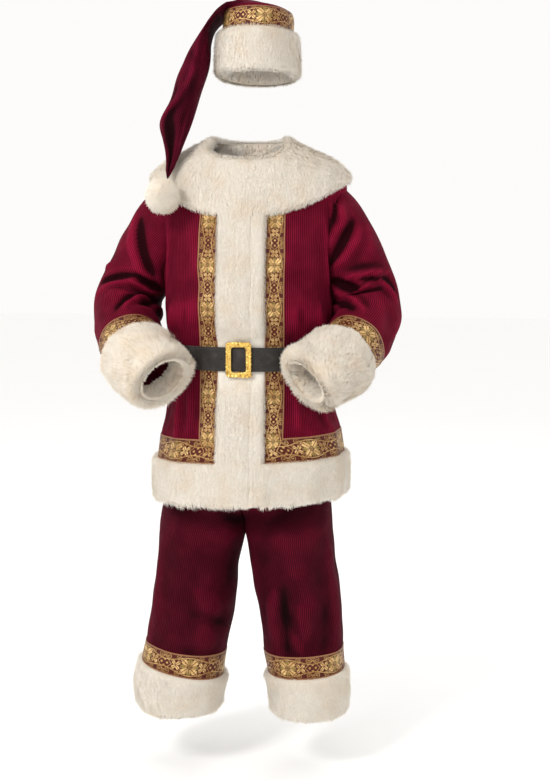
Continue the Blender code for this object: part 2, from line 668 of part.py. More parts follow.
def make_sleeve(side, name, velvet, fur, brocade):
    sleeve = Surface(sleeve_rings(side), closed=True)
    ribbon_row = SLEEVE_ROWS - 1
    fur_row = ribbon_row + 2
    last = fur_row + CUFF_ROWS
    tube = layered_solid("sleeve_" + name, sleeve, sleeve.between(0, last), -VELVET, 0.0, velvet)
    layered_solid("ribbon_sleeve_" + name, sleeve, sleeve.between(ribbon_row, fur_row),
                  TINY_GAP, TINY_GAP + RIBBON, brocade)
    mouth = np.where(sleeve.row == last, FUR_BELOW_HEM, FUR_OVERHANG)
    thickness = np.interp(sleeve.row, (fur_row, last), (CUFF_FUR_START, CUFF_FUR_MOUTH))
    layered_solid("fur_cuff_" + name, sleeve, sleeve.between(fur_row, last),
                  TINY_GAP, thickness, fur, rounded=THICK_FUR_ROUNDING, overhang=mouth)
    cutter = add_cutter("sleeve_space_" + name, sleeve, TINY_GAP, last + 1)
    return tube, cutter


def leg_fold(angle, level):
    out = 0.0
    for centre, width, depth, low, high in LEG_FOLDS:
        if low < level < high:
            across = angle_between(angle, centre) / width
            along = math.sin(math.pi * (level - low) / (high - low)) ** 2
            out += depth * math.exp(-across * across) * along
    return out


def trouser_point(level, share, side, back, sections):
    """A point of a trouser panel; share runs from 0 at the outer seam to 1 at the inner one."""
    half_width, front_depth, back_depth, middle, squareness = table_at(HIP_SECTIONS, level)
    depth = back_depth if back else front_depth
    facing = 1 if back else -1
    forward, sideways = squared_off((1.0 - share) * math.pi / 2, squareness)
    hip = np.array([middle + side * half_width * sideways, facing * depth * forward, level])
    inner, outer, middle_y, half_depth, lift = table_at(sections, level)
    centre, half = (inner + outer) / 2, (outer - inner) / 2
    swing = share * math.pi
    degrees = math.degrees(swing)
    grown = 1.0 + leg_fold(360.0 - degrees if back else degrees, level) / half
    leg = np.array([side * (centre + half * math.cos(swing) * grown),
                    middle_y + facing * half_depth * math.sin(swing) * grown,
                    level + lift * half * math.cos(swing)])
    weight = 1.0 - smoothstep(CROTCH, LEGS_START, level)
    return hip * (1.0 - weight) + leg * weight


def belt_lift(column):
    distance = min(column, LAST_COLUMN - column)
    return BELT_LIFTS[distance] if distance < len(BELT_LIFTS) else BELT_LIFT


def belt_strips(torso):
    """The belt's points, normals and lifts: once round from the buckle, then over itself to the tail."""
    grid = torso.points.reshape(len(TORSO_ROWS), LAST_COLUMN + 1, 3)
    facing = torso.normals.reshape(len(TORSO_ROWS), LAST_COLUMN + 1, 3)
    low, high = row_at(BELT_BOTTOM), row_at(BELT_TOP)
    once_round = list(range(LAST_COLUMN + 1))
    before_end, past_end = SIDE_COLUMN - 1, SIDE_COLUMN
    columns = once_round + list(range(1, SIDE_COLUMN))
    strip_width = FRONT_STRIPS[past_end] - FRONT_STRIPS[before_end]
    rings, normals = [], []
    for part in (0.0, BELT_EDGE_PART, 1.0 - BELT_EDGE_PART, 1.0):
        line = grid[low] * (1.0 - part) + grid[high] * part
        turned = facing[low] * (1.0 - part) + facing[high] * part
        reach = BELT_TAIL_REACH - (BELT_TAIL_ROUNDING if part in (0.0, 1.0) else 0.0)
        past = (reach - FRONT_STRIPS[before_end]) / strip_width
        end = line[before_end] * (1.0 - past) + line[past_end] * past
        rings.append([*line[columns], end])
        normals.append([*turned[columns], turned[before_end]])
    lifts = np.array([belt_lift(column) for column in columns] + [belt_lift(before_end) - BELT_TAIL_DIP])
    over_itself = BELT_THICKNESS + TINY_GAP
    lifts[LAST_COLUMN:] += over_itself
    lifts[LAST_COLUMN - 1] += over_itself / 2
    return rings, np.array(normals).reshape(-1, 3), np.tile(lifts, len(rings))


def make_belt(torso, leather):
    rings, normals, lifts = belt_strips(torso)
    strap = Surface(rings)
    strap.normals = normals / np.linalg.norm(normals, axis=1)[:, None]
    everything = np.ones(len(strap.triangles), bool)
    layered_solid("belt_strap", strap, everything, lifts, lifts + BELT_THICKNESS, leather)


def polar_reach(width, height, angle):
    """How far a rounded rectangle reaches from its middle at this angle."""
    across, along = abs(math.cos(angle)) / (width / 2), abs(math.sin(angle)) / (height / 2)
    return (across ** BUCKLE_SQUARENESS + along ** BUCKLE_SQUARENESS) ** (-1.0 / BUCKLE_SQUARENESS)


def make_buckle(torso, gold):
    """A scalloped frame in front of the tail, with a bar behind it that the tail passes over."""
    jacket_y = torso.points.reshape(len(TORSO_ROWS), LAST_COLUMN + 1, 3)[row_at(BELT_TOP), 0, 1]
    under_belt = jacket_y - BELT_LIFTS[0]
    back = under_belt - 2 * BELT_THICKNESS - 2 * TINY_GAP
    middle = (BELT_BOTTOM + BELT_TOP) / 2
    points, faces = [], []
    for station in range(BUCKLE_STATIONS):
        angle = 2 * math.pi * station / BUCKLE_STATIONS
        notch = BUCKLE_SCALLOP_DEPTH * (1.0 - math.cos(BUCKLE_SCALLOPS * angle)) / 2
        outer = polar_reach(BUCKLE_WIDTH, BUCKLE_HEIGHT, angle) - notch
        inner = polar_reach(BUCKLE_OPENING_WIDTH, BUCKLE_OPENING_HEIGHT, angle)
        crown = BUCKLE_THICKNESS - BUCKLE_SCALLOP_DEPTH + notch
        slope, shoulder = (outer - inner) * BUCKLE_SLOPE, BUCKLE_THICKNESS / 2
        profile = ((inner, 0.0), (outer, 0.0), (outer, shoulder), (outer - slope, crown),
                   (inner + slope, crown), (inner, shoulder))
        for reach, forward in profile:
            points.append((BUCKLE_BAR_X + reach * math.cos(angle), back - forward,
                           middle + reach * math.sin(angle)))
    count = len(profile)
    for station in range(BUCKLE_STATIONS):
        here, after = station * count, (station + 1) % BUCKLE_STATIONS * count
        for side in range(count):
            other = (side + 1) % count
            faces.append((here + side, after + other, here + other))
            faces.append((here + side, after + side, after + other))
    buckle = add_object("belt_buckle", points, faces, gold)
    bar = make_buckle_bar(middle, back - BUCKLE_THICKNESS * BUCKLE_SLOPE, under_belt - BUCKLE_BAR_BEHIND)
    join_bar = buckle.modifiers.new("Join bar", "BOOLEAN")
    join_bar.operation = "UNION"
    join_bar.solver = "EXACT"
    join_bar.object = bar


def make_buckle_bar(middle, frame_y, bar_y):
    """A flat bar that runs upright behind the belt, its ends turned forwards into the frame."""
    half_belt = (BELT_TOP - BELT_BOTTOM) / 2
    bend, end = half_belt + BUCKLE_BAR_CLEARANCE, half_belt + BUCKLE_BAR_OVERLAP
    route = ((-end, frame_y), (-bend, bar_y), (bend, bar_y), (end, frame_y))
    points, faces = [], []
    for height, y in route:
        for x in (BUCKLE_BAR_X - BUCKLE_BAR_WIDTH / 2, BUCKLE_BAR_X + BUCKLE_BAR_WIDTH / 2):
            points += [(x, y, middle + height), (x, y - BUCKLE_BAR_THICKNESS, middle + height)]
    for step in range(len(route) - 1):
        here, after = 4 * step, 4 * step + 4
        for first, second in ((0, 1), (1, 3), (3, 2), (2, 0)):
            faces.append((here + first, here + second, after + second))
            faces.append((here + first, after + second, after + first))
    last = 4 * (len(route) - 1)
    faces += [(0, 2, 3), (0, 3, 1), (last, last + 3, last + 2), (last, last + 1, last + 3)]
    bar = add_object("buckle_bar", points, faces, None)
    bar.hide_render = True
    bar.display_type = "WIRE"
    return bar


def make_trousers(velvet, fur, brocade):
    """Two legs, each of a front and a back panel that meet at the outer seam and the inseam."""
    panels, surfaces = [], []
    for side, name, sections in ((1, "left", LEFT_LEG_SECTIONS), (-1, "right", RIGHT_LEG_SECTIONS)):
        for back in (False, True):
            rings = []
            for level in LEG_ROWS:
                ring = [trouser_point(level, column / PANEL_COLUMNS, side, back, sections)
                        for column in range(PANEL_COLUMNS + 1)]
                rings.append(ring if (side > 0) == back else ring[::-1])
            surface = Surface(rings)
            surfaces.append(surface)
            panels.append(("trousers_back_" if back else "trousers_front_") + name)
    for surface, normals in zip(surfaces, corner_normals(surfaces)):
        surface.normals = normals
    for name, surface in zip(panels, surfaces):
        layered_solid(name, surface, np.ones(len(surface.triangles), bool), -VELVET, 0.0, velvet)

    for side, name, sections in ((1, "left", LEFT_LEG_SECTIONS), (-1, "right", RIGHT_LEG_SECTIONS)):
        rings = []
        for level in LEG_ROWS[:LEG_RIBBON_ROW + 2]:
            front = [trouser_point(level, column / PANEL_COLUMNS, side, False, sections)
                     for column in range(PANEL_COLUMNS)]
            rear = [trouser_point(level, 1.0 - column / PANEL_COLUMNS, side, True, sections)
                    for column in range(PANEL_COLUMNS)]
            ring = front + rear
            rings.append(ring[::-1] if side > 0 else ring)
        leg = Surface(rings, closed=True)
        layered_solid("ribbon_leg_" + name, leg, leg.between(LEG_FUR_ROW, LEG_RIBBON_ROW),
                      TINY_GAP, TINY_GAP + RIBBON, brocade)
        overhang = np.where(leg.row == LEG_HEM_ROW, FUR_BELOW_HEM, FUR_OVERHANG)
        layered_solid("fur_leg_" + name, leg, leg.between(LEG_HEM_ROW, LEG_FUR_ROW),
                      TINY_GAP, LEG_FUR, fur, rounded=FUR_ROUNDING, overhang=overhang)


def make_waistband(torso, velvet):
    """The trousers' waistband, just inside the jacket where the belt draws it in."""
    keep = torso.between(row_at(BELT_BOTTOM), row_at(BELT_TOP))
    outer = -VELVET - TINY_GAP
    layered_solid("trousers_waistband", torso, keep, outer - WAISTBAND, outer, velvet)


def make_hat(velvet, fur, brocade):
    rings = []
    for row, section in enumerate(HAT_SECTIONS):
        inner_x, inner_height, outer_x, outer_height, half_depth, middle_y = section
        lean = HAT_LEAN * (1.0 - smoothstep(HAT_RIBBON_ROW, HAT_LEAN_ENDS, row))
        centre = np.array([(inner_x + outer_x) / 2, middle_y, (inner_height + outer_height) / 2])
        across = np.array([(outer_x - inner_x) / 2, 0.0, (outer_height - inner_height) / 2])
        ring = []
        for column in range(HAT_COLUMNS):
            turn = 2 * math.pi * column / HAT_COLUMNS
            depth = half_depth * math.sin(turn)
            ring.append(centre + across * math.cos(turn) + np.array([0.0, depth, -lean * depth]))
        rings.append(ring)
    hat = Surface(rings, closed=True, tip=HAT_TIP)
    layered_solid("hat_cone", hat, np.ones(len(hat.triangles), bool), -VELVET, 0.0, velvet)
    layered_solid("hat_ribbon", hat, hat.between(HAT_FUR_ROW, HAT_RIBBON_ROW),
                  TINY_GAP, TINY_GAP + RIBBON, brocade)
    overhang = np.where(hat.row == 0, FUR_BELOW_HAT, FUR_OVERHANG)
    layered_solid("hat_fur_band", hat, hat.between(0, HAT_FUR_ROW), TINY_GAP, HAT_FUR, fur,
                  rounded=THICK_FUR_ROUNDING, overhang=overhang)


def make_pompom(fur):
    bpy.ops.mesh.primitive_ico_sphere_add(subdivisions=3, radius=POMPOM_RADIUS)
    pompom = bpy.context.object
    pompom.name = pompom.data.name = "hat_pompom"
    hangs = np.array(POMPOM_HANGS) / np.linalg.norm(POMPOM_HANGS)
    pompom.location = HAT_TIP + hangs * (POMPOM_RADIUS + TINY_GAP) - (0.0, 0.0, MOUNT_HEIGHT)
    pompom.data.shade_smooth()
    pompom.data.materials.append(fur)


def main():
    for old in list(bpy.data.objects):
        bpy.data.objects.remove(old)
    velvet = make_material("burgundy_velvet", BURGUNDY, 0.75)
    fur = make_material("white_fur", FUR_WHITE, 0.95)
    brocade = make_material("gold_brocade", BROCADE_GOLD, 0.45, 0.4)
    leather = make_material("charcoal_leather", BELT_CHARCOAL, 0.55)
    gold = make_material("gold_metal", BUCKLE_GOLD, 0.25, 1.0)
    torso, panels = make_jacket(velvet, fur, brocade)
    inside = Surface(torso_closed_rings(torso), closed=True)
    body = add_cutter("body_space", inside, TINY_GAP, len(TORSO_ROWS))
    for side, name in ((1, "left"), (-1, "right")):
        tube, cutter = make_sleeve(side, name, velvet, fur, brocade)
        cut_away(tube, body)
        for panel in panels:
            cut_away(panel, cutter)
    make_belt(torso, leather)
    make_buckle(torso, gold)
    make_waistband(torso, velvet)
    make_trousers(velvet, fur, brocade)
    make_hat(velvet, fur, brocade)
    make_pompom(fur)


main()
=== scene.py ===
import math

import bpy
import numpy as np
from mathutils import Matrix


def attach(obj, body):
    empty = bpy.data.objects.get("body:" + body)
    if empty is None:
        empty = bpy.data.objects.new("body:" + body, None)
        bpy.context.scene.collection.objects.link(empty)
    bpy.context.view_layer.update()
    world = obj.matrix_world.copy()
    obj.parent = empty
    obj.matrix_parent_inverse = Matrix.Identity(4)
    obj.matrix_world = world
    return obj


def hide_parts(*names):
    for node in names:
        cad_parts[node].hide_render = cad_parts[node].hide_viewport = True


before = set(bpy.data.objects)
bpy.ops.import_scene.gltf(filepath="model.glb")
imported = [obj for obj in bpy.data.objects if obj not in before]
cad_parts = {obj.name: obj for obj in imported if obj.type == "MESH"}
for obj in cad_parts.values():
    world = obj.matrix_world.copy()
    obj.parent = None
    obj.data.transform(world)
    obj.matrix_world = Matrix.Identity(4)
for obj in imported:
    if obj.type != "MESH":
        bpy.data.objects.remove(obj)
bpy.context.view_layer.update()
print("Frame loaded:", len(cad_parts), "nodes")

# Heights in the tables are above the wearer's ground, and every point is set down by this at the end
groundDrop = 1.5
seamGap = 0.0003
clothThickness = 0.0018
ribbonThickness = 0.001
sharpAngle = 50.0
blurPasses = 14


# Small tools for tables, folds and surfaces
def smoothStep(low, high, value):
    part = np.clip((value - low) / (high - low), 0.0, 1.0)
    return part * part * (3.0 - 2.0 * part)


def hump(value):
    return np.exp(-value * value)


def turnBetween(first, second):
    return (first - second + 180.0) % 360.0 - 180.0


def tableAt(table, key):
    # the other columns of a table at each key, on a smooth curve through its rows
    rows = np.array(sorted(table))
    keys = rows[:, 0]
    slopes = np.gradient(rows[:, 1:], keys, axis=0)
    key = np.asarray(key, float)
    place = np.clip(np.searchsorted(keys, key) - 1, 0, len(keys) - 2)
    span = (keys[place + 1] - keys[place])[..., None]
    t = np.clip((key - keys[place])[..., None] / span, 0.0, 1.0)
    start, end = rows[place, 1:], rows[place + 1, 1:]
    ease = t * t * (3.0 - 2.0 * t)
    rise = t * (1.0 - t) ** 2 * span * slopes[place] - t * t * (1.0 - t) * span * slopes[place + 1]
    return np.moveaxis(start + (end - start) * ease + rise, -1, 0)


def squaredOff(turn, squareness):
    power = 2.0 / squareness
    return np.maximum(np.cos(turn), 0.0) ** power, np.maximum(np.sin(turn), 0.0) ** power


def unit(vectors):
    return vectors / np.maximum(np.linalg.norm(vectors, axis=-1, keepdims=True), 1e-9)


def softWaves(points, seed, size, longest=0.16, shortest=0.06, count=8):
    # a low, uneven swell that runs on from one piece of cloth to the next
    draw = np.random.default_rng(seed)
    total = np.zeros(points.shape[:-1])
    for _ in range(count):
        way = unit(draw.normal(size=3))
        wave = draw.uniform(shortest, longest)
        total += np.sin(points @ way * 2 * math.pi / wave + draw.uniform(0, 2 * math.pi))
    return total * size / math.sqrt(count)


def besideLine(across, along, line, acrossUnit, turn, alongUnit):
    # how far along a line each place is, from 0 to 1, and how far aside in metres
    startAcross, startAlong, endAcross, endAlong = line
    overAcross = across - startAcross
    if turn:
        overAcross = (overAcross + turn / 2) % turn - turn / 2
    overAcross = overAcross * acrossUnit
    overAlong = (along - startAlong) * alongUnit
    runAcross, runAlong = (endAcross - startAcross) * acrossUnit, (endAlong - startAlong) * alongUnit
    length = math.hypot(runAcross, runAlong)
    t = (overAcross * runAcross + overAlong * runAlong) / length ** 2
    return t, (overAcross * runAlong - overAlong * runAcross) / length


# How every crease and stroke is formed: both ends fade, and low swells run beside a crease
creaseForm = {
    "startFade": (-0.1, 0.38), "endFade": (1.1, 0.62), "narrowest": 0.55, "widening": 0.45,
    "steepSide": 1.35, "softSide": 0.8, "swell": 0.3, "swellPlace": 2.1, "swellWidth": 1.1,
}
strokeForm = {"startFade": (-0.12, 0.22), "endFade": (1.12, 0.78)}


def creaseRelief(across, along, creases, acrossUnit, turn=None, alongUnit=1.0):
    # each crease runs from one place to another, bent or straight; one side is soft and the other steep
    total = np.zeros(np.broadcast(across, along).shape)
    for crease in creases:
        line, (width, depth, *bend) = crease[:4], crease[4:]
        t, aside = besideLine(across, along, line, acrossUnit, turn, alongUnit)
        if bend:
            inside = np.clip(t, 0.0, 1.0)
            aside = aside - bend[0] * 4.0 * inside * (1.0 - inside)
        taper = smoothStep(*creaseForm["startFade"], t) * smoothStep(*creaseForm["endFade"], t)
        broad = width * (creaseForm["narrowest"] + creaseForm["widening"] * taper)
        steep = aside / broad * np.where(aside > 0.0, creaseForm["steepSide"], creaseForm["softSide"])
        beside = (np.abs(aside) - creaseForm["swellPlace"] * broad) / (creaseForm["swellWidth"] * broad)
        total += depth * taper * (hump(steep) - creaseForm["swell"] * hump(beside))
    return total


def lightAndShadeStrokes(across, along, strokes, acrossUnit, turn=None, alongUnit=1.0):
    # painted shade and painted light, laid on the velvet in strokes; a stroke fades on each side by its own
    # width
    total = np.zeros(np.broadcast(across, along).shape)
    for *line, before, after, tone in strokes:
        t, aside = besideLine(across, along, line, acrossUnit, turn, alongUnit)
        ends = smoothStep(*strokeForm["startFade"], t) * smoothStep(*strokeForm["endFade"], t)
        fade = np.where(aside > 0.0, smoothStep(after, 0.0, aside), smoothStep(-before, 0.0, aside))
        total += tone * ends * fade
    return total


def facing(surface, rows, columns, steps):
    # outward directions of a surface, from its points just beside each place
    rowStep, columnStep = steps
    overColumns = surface(rows, columns + columnStep) - surface(rows, columns - columnStep)
    overRows = surface(rows + rowStep, columns) - surface(rows - rowStep, columns)
    return unit(np.cross(overColumns, overRows))


def gridOn(surface, rows, columns, steps):
    # every pair of a row and a column, with the points and the outward directions there
    rowGrid, columnGrid = np.meshgrid(rows, columns, indexing="ij")
    return rowGrid, columnGrid, surface(rowGrid, columnGrid), facing(surface, rowGrid, columnGrid, steps)


def padded(grid, closed):
    # one more column on each side, so that slopes can be taken at the ends
    if closed:
        return np.concatenate([grid[:, -2:-1], grid, grid[:, 1:2]], axis=1)
    return np.concatenate([2 * grid[:, :1] - grid[:, 1:2], grid, 2 * grid[:, -1:] - grid[:, -2:-1]], axis=1)


def lengthsAlong(points, axis):
    steps = np.linalg.norm(np.diff(points, axis=axis), axis=2)
    pad = [(0, 0), (0, 0)]
    pad[axis] = (1, 0)
    return np.pad(np.cumsum(steps, axis=axis), pad)


def fullTurn(parts):
    # degrees once round a tube, from its inner side
    return np.linspace(180.0, 540.0, parts + 1)


def spread(first, last, step):
    return np.linspace(first, last, max(2, int(math.ceil(abs(last - first) / step)) + 1))


def throughKnots(knots, parts):
    # values from knot to knot, each stretch in equal parts
    found = [knots[0]]
    for start, end, count in zip(knots, knots[1:], parts):
        found += list(np.linspace(start, end, count + 1)[1:])
    return np.array(found)


def newMesh(name, points, corners, sizes, uv, material, normals=None):
    # a mesh object from plain arrays; its place is in its points
    mesh = bpy.data.meshes.new(name)
    mesh.vertices.add(len(points))
    mesh.vertices.foreach_set("co", (points - (0.0, 0.0, groundDrop)).astype(np.float32).ravel())
    mesh.loops.add(len(corners))
    mesh.loops.foreach_set("vertex_index", corners.astype(np.int32))
    mesh.polygons.add(len(sizes))
    starts = np.concatenate([[0], np.cumsum(sizes)[:-1]])
    mesh.polygons.foreach_set("loop_start", starts.astype(np.int32))
    mesh.update(calc_edges=True)
    layer = mesh.uv_layers.new(name="flat")
    layer.data.foreach_set("uv", uv[:, :2].astype(np.float32).ravel())
    if uv.shape[1] > 2:
        # the second layer carries the folds' relief and strokes, from which shade and light are painted
        folds = mesh.uv_layers.new(name="folds")
        folds.data.foreach_set("uv", uv[:, [2, 2]].astype(np.float32).ravel())
    mesh.validate()
    mesh.shade_smooth()
    if normals is None:
        mesh.set_sharp_from_angle(angle=math.radians(sharpAngle))
    else:
        mesh.normals_split_custom_set_from_vertices(normals.tolist())
    mesh.materials.append(material)
    piece = bpy.data.objects.new(name, mesh)
    bpy.context.scene.collection.objects.link(piece)
    return piece


def metricUv(points, startColumn=0):
    # distances in metres over a grid: across from one column, along from the first row
    across = lengthsAlong(points, 1)
    across = across - across[:, startColumn:startColumn + 1]
    rises = np.linalg.norm(np.diff(points, axis=0), axis=2).mean(axis=1)
    along = np.concatenate([[0.0], np.cumsum(rises)])
    return np.stack([across, np.broadcast_to(along[:, None], across.shape)], axis=-1)


def clothUv(points, normals, startColumn=0, closed=False):
    # flat coordinates, and how many centimetres each place stands out from the cloth round it
    blurred = points
    for _ in range(blurPasses):
        wide = padded(blurred, closed)
        blurred = (wide[:, :-2] + wide[:, 1:-1] + wide[:, 2:]) / 3
        tall = np.concatenate([2 * blurred[:1] - blurred[1:2], blurred, 2 * blurred[-1:] - blurred[-2:-1]])
        blurred = (tall[:-2] + tall[1:-1] + tall[2:]) / 3
    # how far each place stands out is used to paint shade into hollows and light onto ridges
    relief = np.sum((points - blurred) * normals, axis=-1)
    relief = (relief - np.median(relief)) * 100.0
    return np.concatenate([metricUv(points, startColumn), relief[..., None]], axis=-1)


def makeWall(name, points, normals, inner, outer, uv, material, closed=False, tip=None):
    # a closed wall over a grid of points; a closed tube's last column repeats its first
    inner = np.broadcast_to(inner, points.shape[:2])[..., None]
    outer = np.broadcast_to(outer, points.shape[:2])[..., None]
    outside, inside = points + normals * outer, points + normals * inner
    if closed:
        outside, inside = outside[:, :-1], inside[:, :-1]
    rows, columns = outside.shape[:2]
    index = np.arange(rows * columns).reshape(rows, columns)
    if closed:
        index = np.column_stack([index, index[:, :1]])
    count = rows * columns

    def quads(grid, flip=False):
        parts = [grid[:-1, :-1], grid[:-1, 1:], grid[1:, 1:], grid[1:, :-1]]
        if flip:
            parts.reverse()
        return np.stack(parts, axis=2).reshape((-1, 4) + grid.shape[2:])

    faces = [quads(index), quads(index + count, flip=True)]
    uvs = [quads(uv), quads(uv, flip=True)]

    def rim(line, flat):
        # a strip of faces from the outer to the inner edge along this line of points
        faces.append(np.stack([line[1:], line[:-1], line[:-1] + count, line[1:] + count], axis=1))
        uvs.append(np.stack([flat[1:], flat[:-1], flat[:-1], flat[1:]], axis=1))

    rim(index[0], uv[0])
    if not closed:
        rim(index[::-1, 0], uv[::-1, 0])
        rim(index[:, -1], uv[:, -1])
    vertices = [outside.reshape(-1, 3), inside.reshape(-1, 3)]
    triangles, triangleUvs = [], []
    if tip is None:
        rim(index[-1, ::-1], uv[-1, ::-1])
    else:
        last, after = index[-1, :-1], index[-1, 1:]
        flats = np.stack([uv[-1, :-1], uv[-1, 1:], uv[-1, :-1]], axis=1)
        top = np.full(len(last), 2 * count)
        triangles = [np.stack([last, after, top], axis=1),
                     np.stack([after + count, last + count, top + 1], axis=1)]
        triangleUvs = [flats, flats]
        vertices.append(np.array(tip))
    faces, uvs = np.concatenate(faces), np.concatenate(uvs)
    channels = uv.shape[-1]
    corners, flats, sizesOfFaces = [faces.ravel()], [uvs.reshape(-1, channels)], [np.full(len(faces), 4)]
    for some, flat in zip(triangles, triangleUvs):
        corners.append(some.ravel())
        flats.append(flat.reshape(-1, channels))
        sizesOfFaces.append(np.full(len(some), 3))
    return newMesh(name, np.concatenate(vertices), np.concatenate(corners), np.concatenate(sizesOfFaces),
                   np.concatenate(flats), material)


def applyBoolean(piece, cutter):
    modifier = piece.modifiers.new("cut", "BOOLEAN")
    modifier.operation = "DIFFERENCE"
    modifier.solver = "EXACT"
    modifier.object = cutter
    bpy.ops.object.select_all(action="DESELECT")
    bpy.context.view_layer.objects.active = piece
    piece.select_set(True)
    bpy.ops.object.modifier_apply(modifier=modifier.name)
    piece.data.shade_smooth()
    piece.data.set_sharp_from_angle(angle=math.radians(sharpAngle))


def place(piece, slotName, *nodes):
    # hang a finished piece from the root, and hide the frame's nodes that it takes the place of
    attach(piece, "root")
    if nodes:
        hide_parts(*nodes)
    return piece


# Shader tools
class Nodes:
    # short calls for building a node tree
    def __init__(self, tree):
        self.tree = tree

    def add(self, kind, **settings):
        node = self.tree.nodes.new("ShaderNode" + kind)
        for name, value in settings.items():
            setattr(node, name, value)
        return node

    def plug(self, socket, value):
        if isinstance(value, bpy.types.NodeSocket):
            self.tree.links.new(value, socket)
        else:
            socket.default_value = value

    def fill(self, node, values):
        for name, value in values.items():
            self.plug(node.inputs[name], value)

    def math(self, operation, *values):
        node = self.add("Math", operation=operation)
        for socket, value in zip(node.inputs, values):
            self.plug(socket, value)
        return node.outputs[0]

    def times(self, first, second):
        return self.math("MULTIPLY", first, second)

    def plus(self, first, second):
        return self.math("ADD", first, second)

    def minus(self, first, second):
        return self.math("SUBTRACT", first, second)

    def timesPlus(self, first, second, added):
        return self.math("MULTIPLY_ADD", first, second, added)

    def larger(self, first, second):
        return self.math("MAXIMUM", first, second)

    def size(self, value):
        return self.math("ABSOLUTE", value)

    def apart(self, first, second):
        return self.size(self.minus(first, second))

    def sine(self, value):
        return self.math("SINE", value)

    def cosine(self, value):
        return self.math("COSINE", value)

    def between(self, value, low, high, first=0.0, second=1.0):
        node = self.add("MapRange", interpolation_type="SMOOTHSTEP")
        for socket, given in zip(node.inputs, (value, low, high, first, second)):
            self.plug(socket, given)
        return node.outputs[0]

    def mix(self, factor, first, second, blend="MIX"):
        node = self.add("Mix", data_type="RGBA", blend_type=blend)
        for place, value in ((0, factor), (6, first), (7, second)):  # 6 and 7 take colours
            self.plug(node.inputs[place], value)
        return node.outputs[2]

    def toned(self, colour, tone):
        # a colour made darker or lighter by one value
        grey = self.add("CombineColor")
        for socket in grey.inputs[:3]:
            self.plug(socket, tone)
        return self.mix(1.0, colour, grey.outputs[0], "MULTIPLY")

    def noise(self, vector, scale, detail=2.0, roughness=0.5):
        node = self.add("TexNoise")
        self.fill(node, {"Vector": vector, "Scale": scale, "Detail": detail, "Roughness": roughness})
        return node.outputs[0]

    def parts(self, vector):
        split = self.add("SeparateXYZ")
        self.plug(split.inputs[0], vector)
        return split.outputs


def newGroup(name, inputs, outputs):
    group = bpy.data.node_groups.new(name, "ShaderNodeTree")
    for direction, sockets in (("INPUT", inputs), ("OUTPUT", outputs)):
        for socketName, kind, *default in sockets:
            made = group.interface.new_socket(socketName, in_out=direction, socket_type="NodeSocket" + kind)
            if default:
                made.default_value = default[0]
    return group, Nodes(group), group.nodes.new("NodeGroupInput"), group.nodes.new("NodeGroupOutput")


def newMaterial(name):
    material = bpy.data.materials.new(name)
    material.use_nodes = True
    shader = material.node_tree.nodes["Principled BSDF"]
    return material, Nodes(material.node_tree), shader


def useGroup(nodes, group, values):
    node = nodes.tree.nodes.new("ShaderNodeGroup")
    node.node_tree = group
    nodes.fill(node, values)
    return node


def flatCoordinates(nodes):
    return nodes.add("UVMap", uv_map="flat").outputs[0]


# the fold channel, which paints shade into the velvet's hollows and light onto its ridges
def paintedFoldTone(nodes):
    return nodes.parts(nodes.add("UVMap", uv_map="folds").outputs[0])[0]


def objectCoordinates(nodes):
    return nodes.add("TexCoord").outputs["Object"]


def bumpInto(nodes, shader, height, strength, distance):
    bump = nodes.add("Bump")
    nodes.fill(bump, {"Strength": strength, "Distance": distance, "Height": height})
    nodes.plug(shader.inputs["Normal"], bump.outputs[0])


